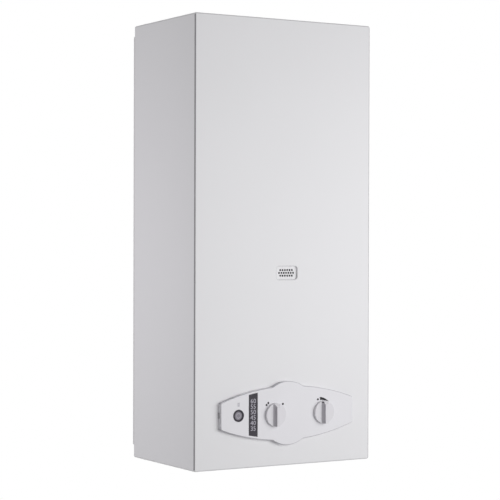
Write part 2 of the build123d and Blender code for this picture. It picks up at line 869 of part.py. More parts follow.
# Solenoid that holds the gas valve open: a can on a hexagon foot
with BuildPart() as solenoid_valve:
    with BuildSketch(Plane.XY.offset(level(gas_bottom + gas_height))):
        with Locations((solenoid_x, -connection_from_wall)):
            RegularPolygon(solenoid_foot, 6, major_radius=False)
    extrude(amount=solenoid_foot_height)
    with BuildSketch(Plane.XY.offset(level(gas_bottom + gas_height + solenoid_foot_height))):
        with Locations((solenoid_x, -connection_from_wall)):
            Circle(solenoid_radius)
    extrude(amount=solenoid_height - solenoid_foot_height)
    fillet(solenoid_valve.faces().sort_by(Axis.Z)[-1].edges(), radius=solenoid_edge)
solenoid_valve.part.label = "solenoid_valve"
export_step(solenoid_valve.part, "parts/solenoid_valve.step")

# Diaphragm housing, gas side
cover_left = gas_half_width + cover_gap
cover_right = cover_left + flange_thick
membrane_right = cover_right + membrane
with BuildPart() as water_valve_cover:
    with BuildSketch(Plane.YZ.offset(gas_half_width)):
        with Locations((-rod_from_wall, level(rod_level))):
            Circle(boss_radius)
    extrude(amount=cover_gap)
    with BuildSketch(Plane.YZ.offset(cover_left)):
        with Locations((-rod_from_wall, level(rod_level))):
            Circle(flange_radius)
    extrude(amount=flange_thick)
    with BuildSketch(Plane.YZ.offset(cover_right)):
        with Locations((-rod_from_wall, level(rod_level))):
            Circle(chamber_radius)
    extrude(amount=-chamber_depth, mode=Mode.SUBTRACT)
    with BuildSketch(Plane.YZ.offset(gas_half_width)):
        with Locations((-rod_from_wall, level(rod_level))):
            Circle(rod_radius + running_fit)
            with PolarLocations(screw_circle, 6):
                Circle(valve_screw_radius)
    extrude(amount=cover_gap + flange_thick, mode=Mode.SUBTRACT)
water_valve_cover.part.label = "water_valve_cover"
export_step(water_valve_cover.part, "parts/water_valve_cover.step")

# Rubber diaphragm, clamped at its rim
with BuildPart() as valve_diaphragm:
    with BuildSketch(Plane.YZ.offset(cover_right)):
        with Locations((-rod_from_wall, level(rod_level))):
            Circle(flange_radius)
            Circle(plate_radius + gap, mode=Mode.SUBTRACT)
            with PolarLocations(screw_circle, 6):
                Circle(valve_screw_radius, mode=Mode.SUBTRACT)
    extrude(amount=membrane)
valve_diaphragm.part.label = "valve_diaphragm"
export_step(valve_diaphragm.part, "parts/valve_diaphragm.step")

# Plate and rod that the diaphragm pushes to the left through the gas valve
rod_end = -(gas_half_width + rod_proud)
with BuildPart() as valve_rod:
    with BuildSketch(Plane.YZ.offset(cover_right)):
        with Locations((-rod_from_wall, level(rod_level))):
            Circle(plate_radius)
    extrude(amount=membrane)
    with BuildSketch(Plane.YZ.offset(rod_end)):
        with Locations((-rod_from_wall, level(rod_level))):
            Circle(rod_radius)
    extrude(amount=cover_right - rod_end)
valve_rod.part.label = "valve_rod"
export_step(valve_rod.part, "parts/valve_rod.step")

# Water valve body: the other half of the housing and a block with its ports
water_front = water_from_wall + water_depth
water_top = gas_bottom + water_height
water_out_x = membrane_right + body_flange + water_width - water_out_inset
with BuildPart() as water_valve_body:
    with BuildSketch(Plane.YZ.offset(membrane_right)):
        with Locations((-rod_from_wall, level(rod_level))):
            Circle(flange_radius)
    extrude(amount=body_flange)
    with BuildSketch(Plane.YZ.offset(membrane_right + body_flange)):
        with Locations((-(water_from_wall + water_front) / 2, level(gas_bottom + water_height / 2))):
            RectangleRounded(water_depth, water_height, valve_corner)
    extrude(amount=water_width)
    with BuildSketch(Plane.XZ.offset(water_front)):
        with Locations((flow_x, level(knob_level))):
            Circle(water_boss_radius)
    extrude(amount=boss_length)
    with BuildSketch(Plane.YZ.offset(membrane_right)):
        with Locations((-rod_from_wall, level(rod_level))):
            Circle(chamber_radius)
    extrude(amount=chamber_depth - membrane, mode=Mode.SUBTRACT)
    with BuildSketch(Plane.XZ.offset(spindle_root - gap)):
        with Locations((flow_x, level(knob_level))):
            Circle(spindle_radius + running_fit)
    extrude(amount=water_front + boss_length - spindle_root + gap, mode=Mode.SUBTRACT)
    with BuildSketch(Plane.XY.offset(level(gas_bottom))):
        with Locations((connection_spacing, -connection_from_wall)):
            Circle(connection_bore)
    extrude(amount=port_depth, mode=Mode.SUBTRACT)
    with BuildSketch(Plane.XY.offset(level(water_top - port_depth))):
        with Locations((water_out_x, -stack_from_wall)):
            Circle(pipe_bore)
    extrude(amount=port_depth, mode=Mode.SUBTRACT)
    with BuildSketch(Plane.YZ.offset(membrane_right)):
        with Locations((-rod_from_wall, level(rod_level))):
            with PolarLocations(screw_circle, 6):
                Circle(valve_screw_radius)
    extrude(amount=body_flange, mode=Mode.SUBTRACT)
water_valve_body.part.label = "water_valve_body"
export_step(water_valve_body.part, "parts/water_valve_body.step")

# Six screws round the diaphragm housing
with BuildPart() as valve_screws:
    with BuildSketch(Plane.YZ.offset(cover_left)):
        with Locations((-rod_from_wall, level(rod_level))):
            with PolarLocations(screw_circle, 6):
                Circle(valve_screw_radius)
    extrude(amount=flange_thick + membrane + body_flange)
    with BuildSketch(Plane.YZ.offset(cover_left - valve_screw_head_thick)):
        with Locations((-rod_from_wall, level(rod_level))):
            with PolarLocations(screw_circle, 6):
                Circle(valve_screw_head)
    extrude(amount=valve_screw_head_thick)
valve_screws.part.label = "valve_screws"
export_step(valve_screws.part, "parts/valve_screws.step")

# Strainer in the cold water inlet
with BuildPart() as inlet_filter:
    with BuildSketch(Plane.XY.offset(level(connection_end + filter_start))):
        with Locations((connection_spacing, -connection_from_wall)):
            Circle(connection_bore)
            Circle(connection_bore - filter_wall, mode=Mode.SUBTRACT)
    extrude(amount=filter_length)
    with BuildSketch(Plane.XY.offset(level(connection_end + filter_start + filter_length))):
        with Locations((connection_spacing, -connection_from_wall)):
            Circle(connection_bore)
    extrude(amount=filter_wall)
inlet_filter.part.label = "inlet_filter"
export_step(inlet_filter.part, "parts/inlet_filter.step")

# Bracket and ignition switch on the left of the gas valve
switch_rear = rod_from_wall - switch_behind_rod
switch_right = rod_end - switch_from_rod_end
lever_pivot_x = switch_right + ear_width / 2
lever_pivot_y = -(switch_rear + switch_depth - pivot_inset)
bracket_rear = switch_rear - switch_bracket_sheet
bracket_foot_right = -(gas_half_width + switch_bracket_sheet)
with BuildPart() as switch_bracket:
    with BuildSketch(Plane.XY.offset(level(rod_level - switch_bracket_height / 2))):
        with BuildLine():
            Polyline((-gas_half_width, -(bracket_rear - switch_bracket_foot)),
                     (bracket_foot_right, -(bracket_rear - switch_bracket_foot)),
                     (bracket_foot_right, -bracket_rear),
                     (switch_right - switch_thick, -bracket_rear),
                     (switch_right - switch_thick, -switch_rear),
                     (-gas_half_width, -switch_rear),
                     close=True)
        make_face()
    extrude(amount=switch_bracket_height)
switch_bracket.part.label = "switch_bracket"
export_step(switch_bracket.part, "parts/switch_bracket.step")

with BuildPart() as microswitch:
    with BuildSketch(Plane.XY.offset(level(rod_level - switch_height / 2))):
        with Locations((switch_right - switch_thick / 2, -(switch_rear + switch_depth / 2))):
            Rectangle(switch_thick, switch_depth)
    extrude(amount=switch_height)
    # Ears and pin that carry the lever
    with BuildSketch(Plane.XY.offset(level(rod_level - switch_height / 2))):
        with Locations((lever_pivot_x, lever_pivot_y)):
            Rectangle(ear_width, ear_depth)
    extrude(amount=switch_height)
    with BuildSketch(Plane.XY.offset(level(rod_level - lever_height / 2 - gap))):
        with Locations((lever_pivot_x, lever_pivot_y)):
            Rectangle(ear_width, ear_depth)
            Circle(pin_radius, mode=Mode.SUBTRACT)
    extrude(amount=lever_height + 2 * gap, mode=Mode.SUBTRACT)
microswitch.part.label = "microswitch"
export_step(microswitch.part, "parts/microswitch.step")

lever_tip_x = rod_end - gap - lever_thick / 2
with BuildPart() as microswitch_lever:
    with BuildSketch(Plane.XY.offset(level(rod_level - lever_height / 2))):
        with Locations((lever_pivot_x, lever_pivot_y)):
            Circle(lever_hub)
        with BuildLine():
            Polyline((lever_pivot_x - lever_thick, lever_pivot_y),
                     (lever_pivot_x + lever_thick, lever_pivot_y),
                     (lever_tip_x + lever_thick / 2, -rod_from_wall),
                     (lever_tip_x + lever_thick / 2, lever_pivot_y + lever_length),
                     (lever_tip_x - lever_thick / 2, lever_pivot_y + lever_length),
                     (lever_tip_x - lever_thick / 2, -rod_from_wall),
                     close=True)
        make_face()
        with Locations((lever_pivot_x, lever_pivot_y)):
            Circle(pin_radius + running_fit, mode=Mode.SUBTRACT)
    extrude(amount=lever_height)
microswitch_lever.part.label = "microswitch_lever"
export_step(microswitch_lever.part, "parts/microswitch_lever.step")

# Control unit on the front of the shelf's upstand, with a hole for its plunger
unit_x = unit_left + unit_width / 2
plunger_root = unit_front - plunger_depth
with BuildPart() as control_unit:
    with BuildSketch(Plane.XZ.offset(unit_back)):
        with Locations((unit_x, level(unit_bottom + unit_height / 2))):
            RectangleRounded(unit_width, unit_height, unit_corner)
    extrude(amount=unit_depth)
    fillet(control_unit.faces().sort_by(Axis.Y)[0].edges(), radius=unit_edge)
    with BuildSketch(Plane.XZ.offset(plunger_root)):
        with Locations((button_x, level(button_level))):
            Circle(button_stem + gap)
    extrude(amount=unit_front - plunger_root, mode=Mode.SUBTRACT)
control_unit.part.label = "control_unit"
export_step(control_unit.part, "parts/control_unit.step")

# Plunger of the push switch inside the control unit
with BuildPart() as switch_plunger:
    with BuildSketch(Plane.XZ.offset(plunger_root + button_travel + gap)):
        with Locations((button_x, level(button_level))):
            Circle(button_stem)
    extrude(amount=plunger_face - plunger_root - button_travel - gap)
switch_plunger.part.label = "switch_plunger"
export_step(switch_plunger.part, "parts/switch_plunger.step")

# Display board with its row of light bars, behind the window
with BuildPart() as display_board:
    with BuildSketch(Plane.XZ.offset(unit_front)):
        with Locations((strip_x, level(panel_level))):
            Rectangle(strip_width + 2 * board_margin, board_height)
    extrude(amount=board_thick)
    with BuildSketch(Plane.XZ.offset(unit_front + board_thick)):
        with Locations((strip_x, level(panel_level))):
            with GridLocations(1, board_height / light_bar_count, 1, light_bar_count):
                Rectangle(strip_width - 2 * light_bar_inset, board_height / light_bar_count - light_bar_space)
    extrude(amount=cover_back - unit_front - board_thick + case_sheet)
display_board.part.label = "display_board"
export_step(display_board.part, "parts/display_board.step")

# Battery box, open at the bottom, hung in the shelf by its flange
box_top = box_bottom + tray_wall + cell_length + 2 * gap + contact_thick + box_wall
with BuildPart() as battery_box:
    with BuildSketch(Plane.XY.offset(level(box_bottom))):
        with Locations((box_x, -box_from_wall)):
            Rectangle(box_width, box_depth)
    extrude(amount=box_top - box_bottom)
    with BuildSketch(Plane.XY.offset(level(box_bottom))):
        with Locations((box_x, -box_from_wall)):
            Rectangle(box_inner_width, box_inner_depth)
    extrude(amount=box_top - box_bottom - box_wall, mode=Mode.SUBTRACT)
    with BuildSketch(Plane.XY.offset(level(shelf_top))):
        with Locations((box_x, -(box_from_wall - box_flange / 2))):
            Rectangle(box_width + 2 * box_flange, box_depth + box_flange)
            Rectangle(box_width - 2 * box_flange_overlap, box_depth - 2 * box_flange, mode=Mode.SUBTRACT)
        with Locations((box_x, -box_from_wall)):
            Rectangle(box_inner_width, box_inner_depth, mode=Mode.SUBTRACT)
    extrude(amount=box_flange_thick)
battery_box.part.label = "battery_box"
export_step(battery_box.part, "parts/battery_box.step")

# Two brass contact discs under the roof of the battery box
with BuildPart() as battery_contacts:
    with BuildSketch(Plane.XY.offset(level(box_top - box_wall - contact_thick))):
        with Locations((box_x, -box_from_wall)):
            with GridLocations(2 * cell_radius + gap, 1, 2, 1):
                Circle(contact_radius)
    extrude(amount=contact_thick)
battery_contacts.part.label = "battery_contacts"
export_step(battery_contacts.part, "parts/battery_contacts.step")

# Battery tray that pulls out downwards, and its two round cells
tray_width = box_inner_width - 2 * gap
tray_depth = box_inner_depth - 2 * gap
with BuildPart() as battery_tray:
    with BuildSketch(Plane.XY.offset(level(box_bottom))):
        with Locations((box_x, -box_from_wall)):
            Rectangle(tray_width, tray_depth)
    extrude(amount=tray_height)
    with BuildSketch(Plane.XY.offset(level(box_bottom + tray_wall))):
        with Locations((box_x, -box_from_wall)):
            Rectangle(tray_width - 2 * tray_wall, tray_depth - 2 * tray_wall)
    extrude(amount=tray_height - tray_wall, mode=Mode.SUBTRACT)
    # Finger pull on the underside
    with BuildSketch(Plane.XY.offset(level(box_bottom))):
        with Locations((box_x, -box_from_wall)):
            SlotOverall(tray_width / 2, pull_width)
    extrude(amount=-pull_drop)
battery_tray.part.label = "battery_tray"
export_step(battery_tray.part, "parts/battery_tray.step")

with BuildPart() as batteries:
    with BuildSketch(Plane.XY.offset(level(box_bottom + tray_wall))):
        with Locations((box_x, -box_from_wall)):
            with GridLocations(2 * cell_radius + gap, 1, 2, 1):
                Circle(cell_radius)
    extrude(amount=cell_length - cell_cap_height)
    with BuildSketch(Plane.XY.offset(level(box_bottom + tray_wall + cell_length - cell_cap_height))):
        with Locations((box_x, -box_from_wall)):
            with GridLocations(2 * cell_radius + gap, 1, 2, 1):
                Circle(cell_cap_radius)
    extrude(amount=cell_cap_height)
batteries.part.label = "batteries"
export_step(batteries.part, "parts/batteries.step")

# Burner frame: a sheet box, open above and below, with ledges and a long air window
burner_top = burner_bottom + burner_height
stack_middle = -stack_from_wall
frame_inner_depth = 2 * (stack_half_depth - frame_sheet)
window_bottom = burner_bottom + air_window_above_bottom
with BuildPart() as burner_frame:
    with BuildSketch(Plane.XY.offset(level(burner_bottom))):
        with Locations((0, stack_middle)):
            Rectangle(2 * burner_half_width, 2 * stack_half_depth)
            Rectangle(2 * (burner_half_width - frame_sheet), frame_inner_depth, mode=Mode.SUBTRACT)
    extrude(amount=burner_height)
    with BuildSketch(Plane.XY.offset(level(burner_bottom))):
        with Locations((0, stack_middle)):
            Rectangle(2 * (burner_half_width - frame_sheet), frame_inner_depth)
            Rectangle(2 * (burner_half_width - frame_sheet), frame_inner_depth - 2 * frame_ledge,
                      mode=Mode.SUBTRACT)
    extrude(amount=frame_sheet)
    with BuildSketch(Plane.XZ.offset(stack_front - frame_sheet)):
        with Locations((0, level(window_bottom + air_window_height / 2))):
            Rectangle(2 * (burner_half_width - air_window_margin), air_window_height)
        with Locations((electrode_x, level(electrode_level)), (flame_sensor_x, level(electrode_level))):
            Circle(ceramic_radius + gap)
    extrude(amount=frame_sheet, mode=Mode.SUBTRACT)
burner_frame.part.label = "burner_frame"
export_step(burner_frame.part, "parts/burner_frame.step")

# Burner blades: flat pressed tubes with a throat in front and flame slots on top
blade_front = stack_front - frame_sheet - gap
blade_back = stack_from_wall - stack_half_depth + frame_sheet + gap
blade_foot = burner_bottom + frame_sheet
blade_top = blade_foot + blade_height
throat_level = blade_foot + throat_above_foot
first_blade = -blade_pitch * (blade_count - 1) / 2
blade_outline = (
    (-blade_front, level(blade_foot)),
    (-blade_back, level(blade_foot)),
    (-blade_back, level(blade_top)),
    (-blade_front, level(blade_top)),
    (-blade_front, level(blade_foot + 32)),
    (-blade_front + 28, level(blade_foot + 26)),
    (-blade_front + 10, level(throat_level + 7)),
    (-blade_front, level(throat_level + 8)),
)
with BuildPart() as burner_blades:
    for number in range(blade_count):
        blade_side = first_blade + number * blade_pitch - blade_thick / 2
        with BuildSketch(Plane.YZ.offset(blade_side)):
            with BuildLine():
                Polyline(*blade_outline, close=True)
            make_face()
        extrude(amount=blade_thick)
        with BuildSketch(Plane.YZ.offset(blade_side + blade_wall)):
            with BuildLine():
                Polyline(*blade_outline, close=True)
            make_face()
            offset(amount=-blade_wall, kind=Kind.INTERSECTION)
        extrude(amount=blade_thick - 2 * blade_wall, mode=Mode.SUBTRACT)
    with BuildSketch(Plane.XY.offset(level(blade_top) - blade_slot_depth)):
        with Locations((0, -(blade_front + blade_back) / 2)):
            with GridLocations(blade_pitch, blade_slot_pitch, blade_count, blade_slot_count):
                Rectangle(blade_thick - 3 * blade_wall, blade_slot_width)
    extrude(amount=blade_slot_depth, mode=Mode.SUBTRACT)
    with BuildSketch(Plane.XZ.offset(blade_front - throat_depth)):
        with Locations((0, level(throat_level))):
            with GridLocations(blade_pitch, 1, blade_count, 1):
                Circle(blade_thick / 2 - blade_wall)
    extrude(amount=throat_depth, mode=Mode.SUBTRACT)
burner_blades.part.label = "burner_blades"
export_step(burner_blades.part, "parts/burner_blades.step")

# Gas manifold bar and its brass injectors, one for each blade
manifold_back = stack_front + injector_length
manifold_bottom = throat_level - manifold_size / 2
with BuildPart() as gas_manifold:
    with BuildSketch(Plane.XZ.offset(manifold_back)):
        with Locations((0, level(throat_level))):
            RectangleRounded(2 * (burner_half_width - manifold_margin), manifold_size, manifold_corner)
    extrude(amount=manifold_size)
    fillet(gas_manifold.faces().sort_by(Axis.Y)[0].edges(), radius=manifold_edge)
    with BuildSketch(Plane.XY.offset(level(manifold_bottom))):
        with Locations((outlet_x, -(manifold_back + manifold_size / 2))):
            Circle(gas_pipe_radius - gas_pipe_wall)
    extrude(amount=manifold_size / 2, mode=Mode.SUBTRACT)
gas_manifold.part.label = "gas_manifold"
export_step(gas_manifold.part, "parts/gas_manifold.step")

with BuildPart() as injectors:
    with BuildSketch(Plane.XZ.offset(manifold_back)):
        with Locations((0, level(throat_level))):
            with GridLocations(blade_pitch, 1, blade_count, 1):
                RegularPolygon(injector_hex, 6, major_radius=False)
    extrude(amount=-injector_hex_height)
    with BuildSketch(Plane.XZ.offset(manifold_back - injector_hex_height)):
        with Locations((0, level(throat_level))):
            with GridLocations(blade_pitch, 1, blade_count, 1):
                Circle(injector_tip_radius)
    extrude(amount=injector_hex_height - injector_length)
    with BuildSketch(Plane.XZ.offset(manifold_back)):
        with Locations((0, level(throat_level))):
            with GridLocations(blade_pitch, 1, blade_count, 1):
                Circle(injector_bore)
    extrude(amount=-injector_length, mode=Mode.SUBTRACT)
injectors.part.label = "injectors"
export_step(injectors.part, "parts/injectors.step")

# Pipe from the gas valve up to the manifold
manifold_middle = manifold_back + manifold_size / 2
gas_top = gas_bottom + gas_height
with BuildPart() as gas_pipe:
    with BuildLine() as gas_route:
        FilletPolyline((outlet_x, -outlet_from_wall, level(gas_top)),
                       (outlet_x, -outlet_from_wall, level(gas_top + gas_pipe_rise)),
                       (outlet_x, -manifold_middle, level(manifold_bottom - gas_pipe_drop)),
                       (outlet_x, -manifold_middle, level(manifold_bottom)),
                       radius=gas_pipe_bend)
    with BuildSketch(Plane.XY.offset(level(gas_top))):
        with Locations((outlet_x, -outlet_from_wall)):
            Circle(gas_pipe_radius)
            Circle(gas_pipe_radius - gas_pipe_wall, mode=Mode.SUBTRACT)
    sweep(path=gas_route.line)
gas_pipe.part.label = "gas_pipe"
export_step(gas_pipe.part, "parts/gas_pipe.step")

# Spark electrode and flame sensor: a ceramic rod, a steel tip and a tab on the burner frame
for rod_name, rod_x in (("ignition_electrode", electrode_x), ("flame_sensor", flame_sensor_x)):
    with BuildPart() as electrode:
        with BuildSketch(Plane.XZ.offset(stack_front - ceramic_inside)):
            with Locations((rod_x, level(electrode_level))):
                Circle(ceramic_radius)
        extrude(amount=ceramic_inside + electrode_out)
        with BuildSketch(Plane.XZ.offset(stack_front - electrode_inside)):
            with Locations((rod_x, level(electrode_level))):
                Circle(electrode_wire)
        extrude(amount=electrode_inside - ceramic_inside)
        with BuildSketch(Plane.XZ.offset(stack_front)):
            with Locations((rod_x, level(electrode_level))):
                SlotOverall(electrode_tab, tab_height)
        extrude(amount=tab_thick)
    electrode.part.label = rod_name
    export_step(electrode.part, f"parts/{rod_name}.step")

# Combustion chamber: a copper box open above and below, with a window in its front
chamber_bottom = burner_top
with BuildPart() as combustion_chamber:
    with BuildSketch(Plane.XY.offset(level(chamber_bottom))):
        with Locations((0, stack_middle)):
            RectangleRounded(2 * tube_end, 2 * stack_half_depth, chamber_corner)
            RectangleRounded(2 * (tube_end - copper_sheet), 2 * (stack_half_depth - copper_sheet),
                             chamber_corner - copper_sheet, mode=Mode.SUBTRACT)
    extrude(amount=chamber_top - chamber_bottom)
    with BuildSketch(Plane.XZ.offset(stack_front - copper_sheet)):
        with Locations((grille_x, level(grille_level))):
            Rectangle(window_width, window_height)
    extrude(amount=copper_sheet, mode=Mode.SUBTRACT)
    with BuildSketch(Plane.YZ.offset(-tube_end)):
        with Locations((stack_middle, level(tube_level))):
            with GridLocations(tube_pitch, 1, tube_count, 1):
                Circle(pipe_radius)
    extrude(amount=2 * tube_end, mode=Mode.SUBTRACT)
combustion_chamber.part.label = "combustion_chamber"
export_step(combustion_chamber.part, "parts/combustion_chamber.step")

# Mica window on the chamber's front and the frame that clamps it
with BuildPart() as flame_window:
    with BuildSketch(Plane.XZ.offset(stack_front)):
        with Locations((grille_x, level(grille_level))):
            Rectangle(window_width + 2 * mica_margin, window_height + 2 * mica_margin)
    extrude(amount=mica_thick)
flame_window.part.label = "flame_window"
export_step(flame_window.part, "parts/flame_window.step")

with BuildPart() as flame_window_frame:
    with BuildSketch(Plane.XZ.offset(stack_front + mica_thick)):
        with Locations((grille_x, level(grille_level))):
            RectangleRounded(window_width + 2 * window_frame_rim_x, window_height + 2 * window_frame_rim_z,
                             window_screw_radius)
            Rectangle(window_width, window_height, mode=Mode.SUBTRACT)
    extrude(amount=window_frame_thick)
    with BuildSketch(Plane.XZ.offset(stack_front + mica_thick + window_frame_thick)):
        with Locations((grille_x, level(grille_level))):
            with GridLocations(window_width + window_frame_rim_x, window_height + window_frame_rim_z, 2, 2):
                Circle(window_screw_radius)
    extrude(amount=window_screw_thick)
flame_window_frame.part.label = "flame_window_frame"
export_step(flame_window_frame.part, "parts/flame_window_frame.step")

# Fins of the heat exchanger, threaded on its five tubes
with BuildPart() as fin_pack:
    with BuildSketch(Plane.YZ.offset(-fin_pitch * (fin_count - 1) / 2 - fin_thick / 2)) as fin_shape:
        with Locations((stack_middle, level(tube_level))):
            Rectangle(2 * (stack_half_depth - copper_sheet - gap), fin_height)
            with GridLocations(tube_pitch, 1, tube_count, 1):
                Circle(pipe_radius, mode=Mode.SUBTRACT)
    first_fin = extrude(amount=fin_thick, mode=Mode.PRIVATE)
    with Locations([(number * fin_pitch, 0, 0) for number in range(fin_count)]):
        add(first_fin)
fin_pack.part.label = "fin_pack"
export_step(fin_pack.part, "parts/fin_pack.step")

# Tubes of the heat exchanger, brazed to their bends
first_tube_y = stack_middle + (tube_count - 1) / 2 * tube_pitch
with BuildPart() as exchanger_tubes:
    with BuildSketch(Plane.YZ.offset(-tube_end - tube_out)):
        with Locations((stack_middle, level(tube_level))):
            with GridLocations(tube_pitch, 1, tube_count, 1):
                Circle(pipe_radius)
                Circle(pipe_bore, mode=Mode.SUBTRACT)
    extrude(amount=2 * (tube_end + tube_out))
    # Half-round bends join the tubes in pairs, two on each side
    for side, start in ((-1, 0), (-1, 2), (1, 1), (1, 3)):
        tube_y = first_tube_y - start * tube_pitch
        with BuildSketch(Plane.YZ.offset(side * (tube_end + tube_out))):
            with Locations((tube_y, level(tube_level))):
                Circle(pipe_radius)
                Circle(pipe_bore, mode=Mode.SUBTRACT)
        bend_axis = Axis((side * (tube_end + tube_out), tube_y - tube_pitch / 2, 0), (0, 0, 1))
        revolve(axis=bend_axis, revolution_arc=side * -180)
exchanger_tubes.part.label = "exchanger_tubes"
export_step(exchanger_tubes.part, "parts/exchanger_tubes.step")

# Jacket coil: the cold water pipe wound round the chamber on its way to the tubes
coil_front = stack_front + pipe_radius + gap
coil_back = stack_from_wall - stack_half_depth - pipe_radius - gap
riser_top = level(coil_first)
feed_x = tube_end + tube_out + coil_end_bend + feed_margin
coil_corners = [
    (coil_half, -coil_front),
    (-coil_half, -coil_front),
    (-coil_half, -coil_back),
    (coil_half, -coil_back),
]
coil_points = [(coil_half, stack_middle, level(coil_start)), (coil_half, stack_middle, riser_top)]
for corner in range(coil_runs):
    corner_x, corner_y = coil_corners[corner % 4]
    coil_points.append((corner_x, corner_y, riser_top + (corner + 1) * coil_rise))
coil_top = riser_top + (coil_runs + 1) * coil_rise
coil_points.append((feed_x, -coil_back, coil_top))
coil_points.append((feed_x, first_tube_y, level(tube_level)))
coil_points.append((tube_end + tube_out, first_tube_y, level(tube_level)))
with BuildPart() as jacket_coil:
    with BuildLine() as coil_route:
        FilletPolyline(*coil_points, radius=[coil_bend] * (coil_runs + 1) + [coil_end_bend] * 2)
    with BuildSketch(Plane.XY.offset(level(coil_start))):
        with Locations((coil_half, stack_middle)):
            Circle(pipe_radius)
            Circle(pipe_bore, mode=Mode.SUBTRACT)
    sweep(path=coil_route.line)
jacket_coil.part.label = "jacket_coil"
export_step(jacket_coil.part, "parts/jacket_coil.step")

# Cold water pipe from the top of the water valve up to the coil
with BuildPart() as cold_water_pipe:
    with BuildLine() as cold_route:
        FilletPolyline((water_out_x, stack_middle, level(water_top)),
                       (water_out_x, stack_middle, level(water_top + cold_straight)),
                       (coil_half, stack_middle, level(water_top + cold_straight + cold_slant)),
                       (coil_half, stack_middle, level(coil_start)),
                       radius=cold_bend)
    with BuildSketch(Plane.XY.offset(level(water_top))):
        with Locations((water_out_x, stack_middle)):
            Circle(pipe_radius)
            Circle(pipe_bore, mode=Mode.SUBTRACT)
    sweep(path=cold_route.line)
cold_water_pipe.part.label = "cold_water_pipe"
export_step(cold_water_pipe.part, "parts/cold_water_pipe.step")

# Hot water pipe from the last tube down to the hot connection
last_tube_y = stack_middle - (tube_count - 1) / 2 * tube_pitch
hot_x = -(coil_half + 2 * pipe_radius + hot_pipe_space)
with BuildPart() as hot_water_pipe:
    with BuildLine() as hot_route:
        FilletPolyline((-tube_end - tube_out, last_tube_y, level(tube_level)),
                       (hot_x, last_tube_y, level(tube_level)),
                       (hot_x, last_tube_y, level(hot_turn)),
                       (hot_x, -connection_from_wall, level(hot_turn - hot_slant)),
                       (-connection_spacing, -connection_from_wall, level(hot_turn - hot_slant - hot_cross)),
                       (-connection_spacing, -connection_from_wall, level(gas_bottom)),
                       radius=[hot_end_bend, hot_bend, hot_bend, hot_bend])
    with BuildSketch(Plane.YZ.offset(-tube_end - tube_out)):
        with Locations((last_tube_y, level(tube_level))):
            Circle(pipe_radius)
            Circle(pipe_bore, mode=Mode.SUBTRACT)
    sweep(path=hot_route.line)
hot_water_pipe.part.label = "hot_water_pipe"
export_step(hot_water_pipe.part, "parts/hot_water_pipe.step")

# Nuts: three under the shelf that clamp the connections, and one on each pipe end
with BuildPart() as pipe_nuts:
    with BuildSketch(Plane.XY.offset(level(shelf_level - nut_thick))):
        with Locations((0, -connection_from_wall)):
            with GridLocations(connection_spacing, 1, 3, 1):
                RegularPolygon(nut_flats / 2, 6, major_radius=False)
                Circle(neck_radius + running_fit, mode=Mode.SUBTRACT)
    extrude(amount=nut_thick)
    with BuildSketch(Plane.XY.offset(level(water_top))):
        with Locations((water_out_x, stack_middle)):
            RegularPolygon(union_flats / 2, 6, major_radius=False)
            Circle(pipe_radius + running_fit, mode=Mode.SUBTRACT)
    extrude(amount=union_thick)
    with BuildSketch(Plane.XY.offset(level(gas_bottom))):
        with Locations((-connection_spacing, -connection_from_wall)):
            RegularPolygon(union_flats / 2, 6, major_radius=False)
            Circle(pipe_radius + running_fit, mode=Mode.SUBTRACT)
    extrude(amount=union_thick)
    with BuildSketch(Plane.XY.offset(level(gas_top))):
        with Locations((outlet_x, -outlet_from_wall)):
            RegularPolygon(gas_union_flats / 2, 6, major_radius=False)
            Circle(gas_pipe_radius + running_fit, mode=Mode.SUBTRACT)
    extrude(amount=union_thick)
pipe_nuts.part.label = "pipe_nuts"
export_step(pipe_nuts.part, "parts/pipe_nuts.step")

# Flue hood: a tapered skirt on the chamber and a box above it, with relief openings
with BuildPart() as flue_hood:
    with BuildSketch(Plane.XY.offset(level(chamber_top))):
        with Locations((0, stack_middle)):
            Rectangle(2 * tube_end, 2 * stack_half_depth)
    with BuildSketch(Plane.XY.offset(level(hood_neck))):
        with Locations((0, stack_middle)):
            Rectangle(hood_top_width, hood_top_depth)
    loft()
    with BuildSketch(Plane.XY.offset(level(hood_neck))):
        with Locations((0, stack_middle)):
            Rectangle(hood_top_width, hood_top_depth)
    extrude(amount=hood_top - hood_neck)
    with BuildSketch(Plane.XY.offset(level(chamber_top))):
        with Locations((0, stack_middle)):
            Rectangle(2 * (tube_end - hood_sheet), 2 * (stack_half_depth - hood_sheet))
    with BuildSketch(Plane.XY.offset(level(hood_neck))):
        with Locations((0, stack_middle)):
            Rectangle(hood_top_width - 2 * hood_sheet, hood_top_depth - 2 * hood_sheet)
    loft(mode=Mode.SUBTRACT)
    with BuildSketch(Plane.XY.offset(level(hood_neck))):
        with Locations((0, stack_middle)):
            Rectangle(hood_top_width - 2 * hood_sheet, hood_top_depth - 2 * hood_sheet)
    extrude(amount=hood_top - hood_neck - hood_sheet, mode=Mode.SUBTRACT)
    with BuildSketch(Plane.XY.offset(level(hood_top) - hood_sheet)):
        with Locations((0, -flue_from_wall)):
            Circle(collar_bore)
    extrude(amount=hood_sheet, mode=Mode.SUBTRACT)
    with BuildSketch(Plane.YZ.offset(-hood_top_width / 2)):
        with Locations((stack_middle, level(hood_neck + relief_height / 2 + relief_above_neck))):
            SlotOverall(hood_top_depth - 2 * relief_margin, relief_height)
    extrude(amount=hood_top_width, mode=Mode.SUBTRACT)
flue_hood.part.label = "flue_hood"
export_step(flue_hood.part, "parts/flue_hood.step")

